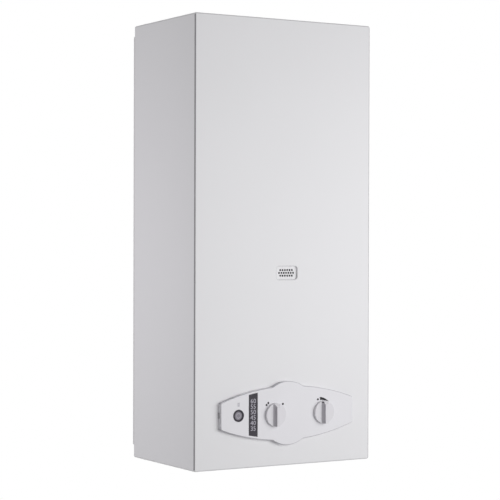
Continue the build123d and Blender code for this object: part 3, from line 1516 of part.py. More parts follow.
# Baffle plate inside the hood, folded down at its ends onto the hood's walls
with BuildPart() as flue_baffle:
    with BuildSketch(Plane.XY.offset(level(hood_neck + relief_height + baffle_above_relief))):
        with Locations((0, stack_middle)):
            Rectangle(hood_top_width - 2 * baffle_margin, hood_top_depth - 2 * hood_sheet - gap)
    extrude(amount=hood_sheet)
    with BuildSketch(Plane.XY.offset(level(hood_neck + relief_height))):
        with Locations((0, stack_middle)):
            with GridLocations(1, hood_top_depth - 3 * hood_sheet - gap, 1, 2):
                Rectangle(hood_top_width - 2 * baffle_margin, hood_sheet)
    extrude(amount=baffle_above_relief)
flue_baffle.part.label = "flue_baffle"
export_step(flue_baffle.part, "parts/flue_baffle.step")

# Flue collar on the hood: a plain ring that a flue pipe drops into
with BuildPart() as flue_collar:
    with BuildSketch(Plane.XY.offset(level(hood_top))):
        with Locations((0, -flue_from_wall)):
            Circle(collar_bore + collar_wall)
            Circle(collar_bore, mode=Mode.SUBTRACT)
    extrude(amount=collar_height)
flue_collar.part.label = "flue_collar"
export_step(flue_collar.part, "parts/flue_collar.step")

# Channel brackets between the back plate and the burner frame, chamber and hood
bracket_reach = stack_from_wall - stack_half_depth
with BuildPart() as frame_brackets:
    for bracket_level in (burner_bottom + bracket_above_edge, bracket_middle, hood_neck + bracket_above_edge):
        with BuildSketch(Plane.XY.offset(level(bracket_level))):
            with GridLocations(bracket_spacing, 1, 2, 1):
                with Locations((0, -(plate_sheet + bracket_reach) / 2)):
                    Rectangle(bracket_width, bracket_reach - plate_sheet)
                    Rectangle(bracket_width + cut_margin, bracket_reach - plate_sheet - 2 * frame_sheet,
                              mode=Mode.SUBTRACT)
                with Locations((-bracket_width / 2 + frame_sheet / 2, -(plate_sheet + bracket_reach) / 2)):
                    Rectangle(frame_sheet, bracket_reach - plate_sheet)
        extrude(amount=bracket_width)
    # Small channels at the plate's lower and upper corners take the cover's screws
    for foot, height in ((case_sheet + gap, plate_above_bottom - case_sheet - gap),
                         (case_height - plate_below_top, plate_below_top - case_sheet - gap)):
        with BuildSketch(Plane.XZ.offset(case_rear_gap + corner_bracket_gap)):
            with GridLocations(case_width - 2 * case_screw_inset, 1, 2, 1):
                with Locations((0, level(foot + height / 2))):
                    Rectangle(corner_bracket_width, height)
                with Locations((frame_sheet, level(foot + height / 2))):
                    Rectangle(corner_bracket_width, height - 2 * frame_sheet, mode=Mode.SUBTRACT)
        extrude(amount=2 * (case_screw_from_wall - case_rear_gap - corner_bracket_gap))
    for hole_bottom in (case_sheet + gap, case_height - case_sheet - gap - frame_sheet):
        with BuildSketch(Plane.XY.offset(level(hole_bottom))):
            with Locations((0, -case_screw_from_wall)):
                with GridLocations(case_width - 2 * case_screw_inset, 1, 2, 1):
                    Circle(case_screw_radius)
        extrude(amount=frame_sheet, mode=Mode.SUBTRACT)
frame_brackets.part.label = "frame_brackets"
export_step(frame_brackets.part, "parts/frame_brackets.step")

# Four screws that hold the cover by its slotted corners
with BuildPart() as casing_screws:
    for seat, direction in ((level(0) - gap, 1), (level(case_height) + gap, -1)):
        with BuildSketch(Plane.XY.offset(seat)):
            with Locations((0, -case_screw_from_wall)):
                with GridLocations(case_width - 2 * case_screw_inset, 1, 2, 1):
                    Circle(case_screw_radius)
        extrude(amount=direction * case_screw_length)
        with BuildSketch(Plane.XY.offset(seat)):
            with Locations((0, -case_screw_from_wall)):
                with GridLocations(case_width - 2 * case_screw_inset, 1, 2, 1):
                    Circle(case_screw_head)
        extrude(amount=-direction * case_screw_head_thick)
        # Cross recess in each head
        with BuildSketch(Plane.XY.offset(seat - direction * case_screw_head_thick)):
            with Locations((0, -case_screw_from_wall)):
                with GridLocations(case_width - 2 * case_screw_inset, 1, 2, 1):
                    Rectangle(recess_length, recess_width)
                    Rectangle(recess_width, recess_length)
        extrude(amount=direction * recess_depth, mode=Mode.SUBTRACT)
casing_screws.part.label = "casing_screws"
export_step(casing_screws.part, "parts/casing_screws.step")

# Two thermal cutouts: one clipped on the hot pipe, one on the front of the hood
cutout_back = -last_tube_y + pipe_radius + clip_wall
with BuildPart() as thermal_cutouts:
    with BuildSketch(Plane.XY.offset(level(cutout_level) - cutout_radius)):
        with Locations((hot_x, last_tube_y)):
            Circle(pipe_radius + clip_wall)
            Circle(pipe_radius + running_fit, mode=Mode.SUBTRACT)
    extrude(amount=2 * cutout_radius)
    with BuildSketch(Plane.XZ.offset(cutout_back - cutout_sink)):
        with Locations((hot_x, level(cutout_level))):
            Circle(cutout_radius)
    extrude(amount=cutout_thick + cutout_sink)
    with BuildSketch(Plane.XZ.offset(stack_from_wall + hood_top_depth / 2)):
        with Locations((spill_sensor_x, level(spill_sensor_level))):
            SlotOverall(electrode_tab, tab_height)
    extrude(amount=tab_thick)
    with BuildSketch(Plane.XZ.offset(stack_from_wall + hood_top_depth / 2)):
        with Locations((spill_sensor_x, level(spill_sensor_level))):
            Circle(cutout_radius)
    extrude(amount=cutout_thick)
thermal_cutouts.part.label = "thermal_cutouts"
export_step(thermal_cutouts.part, "parts/thermal_cutouts.step")


def bend_radii(points):
    # At each corner as large as the shorter of its two runs allows
    radii = []
    for before, corner, after in zip(points, points[1:], points[2:]):
        incoming = Vector(*corner) - Vector(*before)
        outgoing = Vector(*after) - Vector(*corner)
        half_turn = radians(incoming.get_angle(outgoing) / 2)
        radii.append(0.45 * min(incoming.length, outgoing.length) / tan(half_turn))
    print("lead bends", [round(radius, 1) for radius in radii])
    return radii


# Leads from the top of the control unit: spark, flame sensor, hot pipe cutout and spill cutout
unit_top = level(unit_bottom + unit_height) + gap
unit_middle_y = -(unit_back + unit_depth / 2)
lead_front = -(manifold_back + manifold_size + lead_from_manifold)
electrode_foot = level(electrode_level) - ceramic_radius - gap
electrode_y = -(stack_front + electrode_out - 3)
cutout_y = -(cutout_back + cutout_thick / 2)
spill_y = -(stack_from_wall + hood_top_depth / 2 + cutout_thick / 2)
lead_routes = (
    ((unit_x + 12, unit_middle_y, unit_top),
     (unit_x + 12, unit_middle_y - 3, unit_top + 32),
     (unit_x + 22, lead_front, unit_top + 72),
     (electrode_x - 2, lead_front, unit_top + 106),
     (electrode_x, electrode_y, electrode_foot - 12),
     (electrode_x, electrode_y, electrode_foot)),
    ((unit_x + 24, unit_middle_y, unit_top),
     (unit_x + 24, unit_middle_y - 3, unit_top + 24),
     (unit_x + 42, lead_front, unit_top + 54),
     (outlet_x - 8, lead_front - 1, unit_top + 72),
     (flame_sensor_x - 8, lead_front, unit_top + 98),
     (flame_sensor_x, electrode_y, electrode_foot - 12),
     (flame_sensor_x, electrode_y, electrode_foot)),
    ((unit_x - 22, unit_middle_y, unit_top),
     (unit_x - 23, unit_middle_y - 6, unit_top + 42),
     (unit_x - 36, lead_front, unit_top + 102),
     (unit_x - 52, lead_front, unit_top + 167),
     (hot_x, cutout_y - 19, level(cutout_level) - 84),
     (hot_x, cutout_y - 3, level(cutout_level) - 32),
     (hot_x, cutout_y, level(cutout_level) - cutout_radius - gap)),
    ((unit_x - 12, unit_middle_y, unit_top),
     (unit_x - 13, unit_middle_y - 7, unit_top + 47),
     (unit_x - 20, lead_front, unit_top + 112),
     (unit_x - 24, lead_front - 1, unit_top + 182),
     (unit_x - 22, lead_front - 1, level(spill_sensor_level) - 240),
     (unit_x - 18, lead_front, level(spill_sensor_level) - 170),
     (unit_x - 8, lead_front + 5, level(spill_sensor_level) - 100),
     (spill_sensor_x - 2, spill_y - 5, level(spill_sensor_level) - 48),
     (spill_sensor_x, spill_y, level(spill_sensor_level) - cutout_radius - gap)),
)
with BuildPart() as wiring_leads:
    for route in lead_routes:
        with BuildLine() as lead_line:
            FilletPolyline(*route, radius=bend_radii(route))
        with BuildSketch(Plane(origin=route[0], z_dir=lead_line.line % 0)):
            Circle(lead_radius)
        sweep(path=lead_line.line)
wiring_leads.part.label = "wiring_leads"
export_step(wiring_leads.part, "parts/wiring_leads.step")
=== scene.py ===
import math
import bpy
from mathutils import Matrix, Vector


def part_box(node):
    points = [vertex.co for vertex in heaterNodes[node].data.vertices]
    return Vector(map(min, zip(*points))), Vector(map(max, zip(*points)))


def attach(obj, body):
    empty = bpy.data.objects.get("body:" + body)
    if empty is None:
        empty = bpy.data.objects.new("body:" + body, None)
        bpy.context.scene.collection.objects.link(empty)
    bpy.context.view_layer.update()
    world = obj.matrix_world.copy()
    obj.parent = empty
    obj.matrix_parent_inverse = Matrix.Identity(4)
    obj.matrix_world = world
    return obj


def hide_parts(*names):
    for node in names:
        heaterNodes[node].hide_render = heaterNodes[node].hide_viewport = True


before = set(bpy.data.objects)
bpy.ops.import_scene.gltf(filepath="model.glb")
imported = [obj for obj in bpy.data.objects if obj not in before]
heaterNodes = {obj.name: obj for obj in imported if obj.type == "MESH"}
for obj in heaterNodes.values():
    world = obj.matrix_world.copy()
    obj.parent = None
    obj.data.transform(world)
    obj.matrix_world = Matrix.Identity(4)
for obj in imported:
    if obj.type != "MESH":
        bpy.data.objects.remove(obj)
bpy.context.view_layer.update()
print("heater loaded:", len(heaterNodes), "nodes")

# Places in the drawing are in millimetres, and heights above the cover's lower edge
mm = 0.001
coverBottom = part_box("front_casing")[0].z


def heightOf(above):
    return coverBottom + above * mm


def middleOf(node):
    low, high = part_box(node)
    return (low + high) / 2


# Node trees: addNode adds a node with its settings and inputs, and the others are short forms of it
def addNode(tree, kind, settings, inputs):
    node = tree.nodes.new(kind)
    for key, value in settings.items():
        setattr(node, key, value)
    for key, value in inputs.items():
        if isinstance(value, bpy.types.NodeSocket):
            tree.links.new(value, node.inputs[key])
        else:
            node.inputs[key].default_value = value
    return node


def reckon(tree, operation, first, second=0.0):
    settings = {"operation": operation}
    return addNode(tree, "ShaderNodeMath", settings, {0: first, 1: second}).outputs[0]


def spread(tree, value, low, high, newLow=0.0, newHigh=1.0):
    inputs = {0: value, 1: low, 2: high, 3: newLow, 4: newHigh}
    return addNode(tree, "ShaderNodeMapRange", {"clamp": True}, inputs).outputs[0]


def blendColour(tree, share, first, second):
    inputs = {0: share, 6: first, 7: second}
    return addNode(tree, "ShaderNodeMix", {"data_type": "RGBA"}, inputs).outputs[2]


def blendNumber(tree, share, first, second):
    inputs = {0: share, 2: first, 3: second}
    return addNode(tree, "ShaderNodeMix", {"data_type": "FLOAT"}, inputs).outputs[0]


def partsOf(tree, vector):
    return addNode(tree, "ShaderNodeSeparateXYZ", {}, {0: vector}).outputs


def noiseOf(tree, place, scale, values):
    inputs = {"Vector": place, "Scale": scale, "Detail": values["detail"],
              "Roughness": values.get("roughness", 0.5)}
    return addNode(tree, "ShaderNodeTexNoise", {}, inputs).outputs[0]


def noiseBetween(tree, place, scale, values, newLow=0.0, newHigh=1.0):
    noise = noiseOf(tree, place, scale, values)
    return spread(tree, noise, values["low"], values["high"], newLow, newHigh)


def colourOf(red, green, blue):
    return (red, green, blue, 1.0)


def newGroup(name, inputs, outputs):
    tree = bpy.data.node_groups.new(name, "ShaderNodeTree")
    kinds = {"colour": "NodeSocketColor", "number": "NodeSocketFloat", "vector": "NodeSocketVector"}
    for socket, kind in inputs:
        tree.interface.new_socket(socket, in_out="INPUT", socket_type=kinds[kind])
    for socket, kind in outputs:
        tree.interface.new_socket(socket, in_out="OUTPUT", socket_type=kinds[kind])
    start = tree.nodes.new("NodeGroupInput")
    end = tree.nodes.new("NodeGroupOutput")
    place = tree.nodes.new("ShaderNodeTexCoord").outputs["Object"]
    return tree, start.outputs, end.inputs, place


# Slow change of tone over a surface
toneDriftValues = {"detail": 4.0, "roughness": 0.6, "low": 0.35, "high": 0.65}
toneDrift, given, made, place = newGroup(
    "toneDrift",
    [("Colour", "colour"), ("Drift", "colour"), ("Scale", "number"), ("Amount", "number")],
    [("Colour", "colour")])
driftPatches = noiseBetween(toneDrift, place, given["Scale"], toneDriftValues)
driftShare = reckon(toneDrift, "MULTIPLY", driftPatches, given["Amount"])
toneDrift.links.new(blendColour(toneDrift, driftShare, given["Colour"], given["Drift"]), made["Colour"])

# Roughness that wanders between two values
sheenDriftValues = {"detail": 5.0, "roughness": 0.65, "low": 0.3, "high": 0.7}
sheenDrift, given, made, place = newGroup(
    "sheenDrift",
    [("Low", "number"), ("High", "number"), ("Scale", "number")],
    [("Roughness", "number")])
sheen = noiseBetween(sheenDrift, place, given["Scale"], sheenDriftValues, given["Low"], given["High"])
sheenDrift.links.new(sheen, made["Roughness"])

# Fine grain: the peel of sprayed enamel, moulded plastic or cast metal
grainHeightValues = {"detail": 3.0, "roughness": 0.55}
grainHeight, given, made, place = newGroup(
    "grainHeight",
    [("Scale", "number"), ("Stretch", "vector")],
    [("Height", "number")])
grainPlace = addNode(grainHeight, "ShaderNodeVectorMath", {"operation": "MULTIPLY"},
                     {0: place, 1: given["Stretch"]})
grain = noiseOf(grainHeight, grainPlace.outputs[0], given["Scale"], grainHeightValues)
grainHeight.links.new(grain, made["Height"])

# Edges, where the rounded normal turns away from the true one: wear on most finishes, a painted shade line on
# the cover and the control panel
edgeRubAndShadeValues = {
    "samples": 4, "straight": 0.99, "turned": 0.75, "scale": 90.0, "detail": 4.0, "low": 0.4, "high": 0.6,
}
edgeRubAndShade, given, made, place = newGroup(
    "edgeRubAndShade",
    [("Radius", "number"), ("Amount", "number"), ("Even", "number")],
    [("Share", "number")])
roundedEdge = addNode(edgeRubAndShade, "ShaderNodeBevel", {"samples": edgeRubAndShadeValues["samples"]},
                      {"Radius": given["Radius"]})
trueNormal = edgeRubAndShade.nodes.new("ShaderNodeNewGeometry")
edgeTurn = addNode(edgeRubAndShade, "ShaderNodeVectorMath", {"operation": "DOT_PRODUCT"},
                   {0: roundedEdge.outputs[0], 1: trueNormal.outputs["Normal"]})
edgeShare = spread(edgeRubAndShade, edgeTurn.outputs["Value"], edgeRubAndShadeValues["straight"], edgeRubAndShadeValues["turned"])
rubAndShadePatches = noiseBetween(edgeRubAndShade, place, edgeRubAndShadeValues["scale"], edgeRubAndShadeValues, given["Even"])
rubAndShadeShare = reckon(edgeRubAndShade, "MULTIPLY", edgeShare, rubAndShadePatches)
edgeRubAndShade.links.new(reckon(edgeRubAndShade, "MULTIPLY", rubAndShadeShare, given["Amount"]), made["Share"])

# Dust that has settled on faces that look up
dustFallValues = {
    "colour": (0.42, 0.40, 0.37), "leaning": 0.4, "level": 1.0,
    "scale": 60.0, "detail": 5.0, "low": 0.35, "high": 0.7, "least": 0.2,
}
dustFall, given, made, place = newGroup(
    "dustFall",
    [("Colour", "colour"), ("Amount", "number")],
    [("Colour", "colour")])
dustFacing = dustFall.nodes.new("ShaderNodeNewGeometry").outputs["Normal"]
dustUpward = spread(dustFall, partsOf(dustFall, dustFacing)[2],
                    dustFallValues["leaning"], dustFallValues["level"])
dustPatches = noiseBetween(dustFall, place, dustFallValues["scale"], dustFallValues, dustFallValues["least"])
dustShare = reckon(dustFall, "MULTIPLY", dustUpward, dustPatches)
dustAmount = reckon(dustFall, "MULTIPLY", dustShare, given["Amount"])
dusted = blendColour(dustFall, dustAmount, given["Colour"], colourOf(*dustFallValues["colour"]))
dustFall.links.new(dusted, made["Colour"])

# Crystals of galvanised and aluminised sheet
crystalGrey = (0.30, 0.31, 0.33)
spangle, given, made, place = newGroup(
    "spangle",
    [("Colour", "colour"), ("Scale", "number"), ("Depth", "number")],
    [("Colour", "colour")])
crystals = addNode(spangle, "ShaderNodeTexVoronoi", {}, {"Vector": place, "Scale": given["Scale"]})
crystalTone = addNode(spangle, "ShaderNodeSeparateColor", {}, {0: crystals.outputs["Color"]})
crystalShare = reckon(spangle, "MULTIPLY", crystalTone.outputs[0], given["Depth"])
spangled = blendColour(spangle, crystalShare, given["Colour"], colourOf(*crystalGrey))
spangle.links.new(spangled, made["Colour"])

# Oxide colours of metal that stands in heat, stronger from one height to another
heatTintValues = {
    "straw": (0.72, 0.58, 0.36), "brown": (0.40, 0.22, 0.19), "brownAt": 0.55, "blue": (0.16, 0.17, 0.24),
    "faint": 0.05, "full": 0.8, "scale": 35.0, "detail": 4.0, "low": 0.3, "high": 0.7, "waver": 0.2,
}
heatTint, given, made, place = newGroup(
    "heatTint",
    [("Colour", "colour"), ("Cool", "number"), ("Hot", "number"), ("Amount", "number")],
    [("Colour", "colour")])
heatRise = spread(heatTint, partsOf(heatTint, place)[2], given["Cool"], given["Hot"])
heatPatches = noiseBetween(heatTint, place, heatTintValues["scale"], heatTintValues,
                           -heatTintValues["waver"], heatTintValues["waver"])
heatWaver = reckon(heatTint, "ADD", heatRise, heatPatches)
oxide = addNode(heatTint, "ShaderNodeValToRGB", {}, {0: heatWaver})
oxide.color_ramp.elements[0].color = colourOf(*heatTintValues["straw"])
oxide.color_ramp.elements[1].color = colourOf(*heatTintValues["blue"])
oxideMiddle = oxide.color_ramp.elements.new(heatTintValues["brownAt"])
oxideMiddle.color = colourOf(*heatTintValues["brown"])
heatStrength = spread(heatTint, heatWaver, heatTintValues["faint"], heatTintValues["full"])
heatShare = reckon(heatTint, "MULTIPLY", heatStrength, given["Amount"])
heatTint.links.new(blendColour(heatTint, heatShare, given["Colour"], oxide.outputs[0]), made["Colour"])

# One inside a box of the drawing, nought outside it
insideBox, given, made, place = newGroup(
    "insideBox",
    [("Low", "vector"), ("High", "vector")],
    [("Share", "number")])
boxPlace, boxLow, boxHigh = [partsOf(insideBox, vector) for vector in (place, given["Low"], given["High"])]
boxShare = 1.0
for axis in range(3):
    above = reckon(insideBox, "GREATER_THAN", boxPlace[axis], boxLow[axis])
    below = reckon(insideBox, "LESS_THAN", boxPlace[axis], boxHigh[axis])
    boxShare = reckon(insideBox, "MULTIPLY", boxShare, reckon(insideBox, "MULTIPLY", above, below))
insideBox.links.new(boxShare, made["Share"])
print("shader groups made")


def useGroup(tree, group, inputs):
    return addNode(tree, "ShaderNodeGroup", {"node_tree": group}, inputs)


def boxShareOf(tree, low, high):
    return useGroup(tree, insideBox, {"Low": low, "High": high}).outputs["Share"]


def slabShareOf(tree, front, back):
    return boxShareOf(tree, (-1.0, front, -1.0), (1.0, back, 1.0))


# What a surface has where its own values don't say otherwise
plainSurface = {
    "metallic": 0.0, "ior": 1.5, "coat": 0.0, "coatRoughness": 0.1, "transmission": 0.0, "subsurface": 0.0,
    "rubAndShadeEven": 0.3, "stretch": (1.0, 1.0, 1.0),
}


def newSurface(name, ownValues):
    values = {**plainSurface, **ownValues}
    material = bpy.data.materials.new(name)
    material.use_nodes = True
    tree = material.node_tree
    tree.nodes.clear()
    shader = addNode(tree, "ShaderNodeBsdfPrincipled", {}, {
        "Metallic": values["metallic"], "IOR": values["ior"], "Coat Weight": values["coat"],
        "Coat Roughness": values["coatRoughness"], "Transmission Weight": values["transmission"],
        "Subsurface Weight": values["subsurface"]})
    addNode(tree, "ShaderNodeOutputMaterial", {}, {"Surface": shader.outputs[0]})
    colour = useGroup(tree, toneDrift, {
        "Colour": colourOf(*values["colour"]), "Drift": colourOf(*values["drift"]),
        "Scale": values["driftScale"], "Amount": values["driftAmount"]}).outputs["Colour"]
    if "spangle" in values:
        colour = useGroup(tree, spangle, {
            "Colour": colour, "Scale": values["spangle"], "Depth": values["spangleDepth"]}).outputs["Colour"]
    if "heat" in values:
        colour = useGroup(tree, heatTint, {
            "Colour": colour, "Cool": values["heat"][0], "Hot": values["heat"][1],
            "Amount": values["heatAmount"]}).outputs["Colour"]
    # Edge wear, and on the cover and the control panel a painted shade line along the edges
    if "rubAndShade" in values:
        rubbedAndShaded = useGroup(tree, edgeRubAndShade, {
            "Radius": values["rubAndShadeRadius"], "Amount": values["rubAndShadeAmount"], "Even": values["rubAndShadeEven"]})
        colour = blendColour(tree, rubbedAndShaded.outputs["Share"], colour, colourOf(*values["rubAndShade"]))
    if "dust" in values:
        colour = useGroup(tree, dustFall, {"Colour": colour, "Amount": values["dust"]}).outputs["Colour"]
    roughness = useGroup(tree, sheenDrift, {
        "Low": values["rough"][0], "High": values["rough"][1], "Scale": values["roughScale"]})
    height = useGroup(tree, grainHeight, {"Scale": values["grain"], "Stretch": values["stretch"]})
    bump = addNode(tree, "ShaderNodeBump", {}, {
        "Height": height.outputs["Height"], "Strength": values["grainStrength"],
        "Distance": values["grainDepth"]})
    tree.links.new(colour, shader.inputs["Base Color"])
    tree.links.new(roughness.outputs["Roughness"], shader.inputs["Roughness"])
    tree.links.new(bump.outputs[0], shader.inputs["Normal"])
    return material


# Another finish, print or painted shade on a share of the surface, over what is there so far
def overlay(material, share, values):
    tree = material.node_tree
    shader = next(node for node in tree.nodes if node.type == "BSDF_PRINCIPLED")
    overlaidInputs = (
        ("Base Color", blendColour, colourOf(*values["colour"])),
        ("Roughness", blendNumber, values["rough"]),
        ("Metallic", blendNumber, values.get("metallic", 0.0)),
    )
    for key, blend, value in overlaidInputs:
        socket = shader.inputs[key]
        under = socket.links[0].from_socket if socket.is_linked else socket.default_value
        tree.links.new(blend(tree, share, under, value), socket)


def dress(material, *names):
    for name in names:
        mesh = heaterNodes[name].data
        mesh.materials.clear()
        mesh.materials.append(material)


def objectParts(tree):
    return partsOf(tree, tree.nodes.new("ShaderNodeTexCoord").outputs["Object"])


def faceParts(tree):
    normal = tree.nodes.new("ShaderNodeTexCoord").outputs["Normal"]
    return [reckon(tree, "ABSOLUTE", part) for part in partsOf(tree, normal)]


def distanceOf(tree, across, up):
    flat = addNode(tree, "ShaderNodeCombineXYZ", {}, {0: across, 1: up})
    length = addNode(tree, "ShaderNodeVectorMath", {"operation": "LENGTH"}, {0: flat.outputs[0]})
    return length.outputs["Value"]


# White baked enamel on the cover and the back plate behind it
coverEnamelValues = {
    "colour": (0.775, 0.771, 0.790), "drift": (0.750, 0.745, 0.763), "driftScale": 3.0, "driftAmount": 0.35,
    "coat": 0.25, "coatRoughness": 0.12,
    # The dark edge colour below paints a shade line along the cover's edges
    "rubAndShade": (0.30, 0.296, 0.312), "rubAndShadeRadius": 0.0020, "rubAndShadeAmount": 0.6, "rubAndShadeEven": 0.9, "dust": 0.03,
    "rough": (0.30, 0.38), "roughScale": 9.0,
    "grain": 900.0, "grainStrength": 0.10, "grainDepth": 0.0003,
}
coverEnamel = newSurface("coverEnamel", coverEnamelValues)
# Painted shade: a dark line along the cover's bends, except inside the plain box
coverBendShadeValues = {
    "colour": (0.27, 0.265, 0.28), "rough": 0.4, "flat": 0.985, "lying": 0.32,
    "plainLow": (-0.140, -1.0, -0.575), "plainHigh": (0.140, 1.0, 0.045),
}
# Painted shade for the grille's holes: its colour, the ring's reach and the grid of holes
grilleHoleValues = {
    "colour": (0.012, 0.012, 0.013), "rough": 0.7, "wall": 0.5, "edge": 1.45 * mm,
    "low": (-11 * mm, -192 * mm, heightOf(273.5)), "high": (19 * mm, -185 * mm, heightOf(287.5)),
    "across": 4 * mm, "up": heightOf(280.6), "pitch": 4.0 * mm, "rowPitch": 4.1 * mm, "holes": 7,
}


# A thin line of painted shade where a face turns from one direction to the next, weaker where it looks up or
# down
def paintedBendShade(material, values, upright=0.05, lying=0.15):
    tree = material.node_tree
    parts = faceParts(tree)
    largest = reckon(tree, "MAXIMUM", parts[0], reckon(tree, "MAXIMUM", parts[1], parts[2]))
    bent = reckon(tree, "LESS_THAN", largest, values["flat"])
    share = reckon(tree, "MULTIPLY", bent, spread(tree, parts[2], upright, lying, 1.0, values["lying"]))
    if "plainLow" in values:
        plain = boxShareOf(tree, values["plainLow"], values["plainHigh"])
        share = reckon(tree, "MULTIPLY", share, reckon(tree, "SUBTRACT", 1.0, plain))
    overlay(material, share, values)


# Painted shade on the walls of the grille's holes and on a narrow ring round each, which makes each hole look
# wider and darker
def paintedHoleShade(material, values):
    tree = material.node_tree
    parts = objectParts(tree)
    half = values["pitch"] / 2
    dark = reckon(tree, "LESS_THAN", faceParts(tree)[1], values["wall"])
    for row in (-1, 0, 1):
        across = addNode(tree, "ShaderNodeMath", {"operation": "WRAP"}, {
            0: reckon(tree, "SUBTRACT", parts[0], values["across"] + abs(row) * half), 1: half, 2: -half})
        up = reckon(tree, "SUBTRACT", parts[2], values["up"] + row * values["rowPitch"])
        near = reckon(tree, "LESS_THAN", distanceOf(tree, across.outputs[0], up), values["edge"])
        reach = (values["holes"] - abs(row)) * half
        rowBox = boxShareOf(tree, (values["across"] - reach, *values["low"][1:]),
                            (values["across"] + reach, *values["high"][1:]))
        dark = reckon(tree, "MAXIMUM", dark, reckon(tree, "MULTIPLY", near, rowBox))
    inside = boxShareOf(tree, values["low"], values["high"])
    overlay(material, reckon(tree, "MULTIPLY", dark, inside), values)


# Painted shade along the cover's bends
paintedBendShade(coverEnamel, coverBendShadeValues)
# Painted shade in and round the grille's holes
paintedHoleShade(coverEnamel, grilleHoleValues)
dress(coverEnamel, "front_casing")

plateEnamelValues = {
    "colour": (0.700, 0.695, 0.710), "drift": (0.66, 0.655, 0.66), "driftScale": 5.0, "driftAmount": 0.5,
    "coat": 0.10, "coatRoughness": 0.25,
    "rubAndShade": (0.55, 0.55, 0.55), "rubAndShadeRadius": 0.001, "rubAndShadeAmount": 0.4, "dust": 0.15,
    "rough": (0.38, 0.50), "roughScale": 12.0,
    "grain": 700.0, "grainStrength": 0.15, "grainDepth": 0.0003,
}
dress(newSurface("plateEnamel", plateEnamelValues), "back_plate")

# Moulded plastic of the control panel and the two knobs
panelPlasticValues = {
    "colour": (0.772, 0.764, 0.796), "drift": (0.752, 0.744, 0.774), "driftScale": 14.0, "driftAmount": 0.4,
    "ior": 1.46,
    # The grey edge colour below paints a shade line round the panel's front edge
    "rubAndShade": (0.42, 0.41, 0.44), "rubAndShadeRadius": 0.0012, "rubAndShadeAmount": 0.9, "rubAndShadeEven": 0.9, "dust": 0.04,
    "rough": (0.34, 0.42), "roughScale": 30.0,
    "grain": 2200.0, "grainStrength": 0.12, "grainDepth": 0.0001,
}
panelPlastic = newSurface("panelPlastic", panelPlasticValues)
# Painted shade: a grey line round the rim of the control panel
panelRimShadeValues = {"colour": (0.52, 0.51, 0.545), "rough": 0.4, "flat": 0.97, "lying": 1.0}
paintedBendShade(panelPlastic, panelRimShadeValues)
dress(panelPlastic, "fascia")

knobPlasticValues = {
    "colour": (0.715, 0.703, 0.735), "drift": (0.680, 0.668, 0.695), "driftScale": 40.0, "driftAmount": 0.35,
    "ior": 1.46,
    "rubAndShade": (0.72, 0.71, 0.71), "rubAndShadeRadius": 0.0006, "rubAndShadeAmount": 0.5, "dust": 0.04,
    "rough": (0.28, 0.38), "roughScale": 60.0,
    "grain": 2600.0, "grainStrength": 0.08, "grainDepth": 0.0001,
}
knobPlastic = newSurface("knobPlastic", knobPlasticValues)
# Painted shade on the hollow flanks of both knobs' grips, on both sides, in front of the disc
gripHollowShadeValues = {
    "colour": (0.44, 0.424, 0.462), "rough": 0.45, "front": -211.0 * mm, "back": -204.6 * mm, "lean": 0.13,
}
knobTree = knobPlastic.node_tree
sideways = reckon(knobTree, "GREATER_THAN", faceParts(knobTree)[0], gripHollowShadeValues["lean"])
raised = slabShareOf(knobTree, gripHollowShadeValues["front"], gripHollowShadeValues["back"])
overlay(knobPlastic, reckon(knobTree, "MULTIPLY", sideways, raised), gripHollowShadeValues)

# Dark spot on the flank of the flow knob's grip, near its tip
gripTipDarkValues = {
    "colour": (0.10, 0.095, 0.11), "rough": 0.45,
    "low": (57.9 * mm, -209.6 * mm, heightOf(89.3)), "high": (60.8 * mm, -204.6 * mm, heightOf(91.3)),
}
gripTipDarkShare = boxShareOf(knobTree, gripTipDarkValues["low"], gripTipDarkValues["high"])
overlay(knobPlastic, gripTipDarkShare, gripTipDarkValues)
dress(knobPlastic, "power_knob", "flow_knob")

# Smoked window of the display strip
windowSmokeValues = {
    "colour": (0.036, 0.033, 0.043), "drift": (0.046, 0.042, 0.053), "driftScale": 60.0, "driftAmount": 0.6,
    "ior": 1.42,
    "rough": (0.16, 0.24), "roughScale": 80.0,
    "grain": 1500.0, "grainStrength": 0.03, "grainDepth": 0.0001,
}
dress(newSurface("windowSmoke", windowSmokeValues), "display_window")

# Ring and button
ringPlasticValues = {
    "colour": (0.022, 0.019, 0.028), "drift": (0.030, 0.027, 0.036), "driftScale": 90.0, "driftAmount": 0.5,
    "rubAndShade": (0.07, 0.066, 0.078), "rubAndShadeRadius": 0.0004, "rubAndShadeAmount": 0.5, "dust": 0.05,
    "rough": (0.30, 0.40), "roughScale": 90.0,
    "grain": 2500.0, "grainStrength": 0.10, "grainDepth": 0.0001,
}
dress(newSurface("ringPlastic", ringPlasticValues), "button_bezel")

buttonPlasticValues = {
    "colour": (0.245, 0.230, 0.268), "drift": (0.21, 0.197, 0.23), "driftScale": 120.0, "driftAmount": 0.6,
    "rubAndShade": (0.36, 0.345, 0.38), "rubAndShadeRadius": 0.0004, "rubAndShadeAmount": 0.5, "dust": 0.04,
    "rough": (0.32, 0.42), "roughScale": 120.0,
    "grain": 2500.0, "grainStrength": 0.10, "grainDepth": 0.0001,
}
buttonPlastic = newSurface("buttonPlastic", buttonPlasticValues)
buttonRingValues = {"colour": (0.44, 0.425, 0.47), "rough": 0.4, "inner": 2.7 * mm, "outer": 3.9 * mm}
buttonTree = buttonPlastic.node_tree
buttonParts = objectParts(buttonTree)
buttonMiddle = middleOf("power_button")
fromMiddle = distanceOf(buttonTree, reckon(buttonTree, "SUBTRACT", buttonParts[0], buttonMiddle.x),
                        reckon(buttonTree, "SUBTRACT", buttonParts[2], buttonMiddle.z))
ringShare = reckon(buttonTree, "MULTIPLY",
                   reckon(buttonTree, "GREATER_THAN", fromMiddle, buttonRingValues["inner"]),
                   reckon(buttonTree, "LESS_THAN", fromMiddle, buttonRingValues["outer"]))
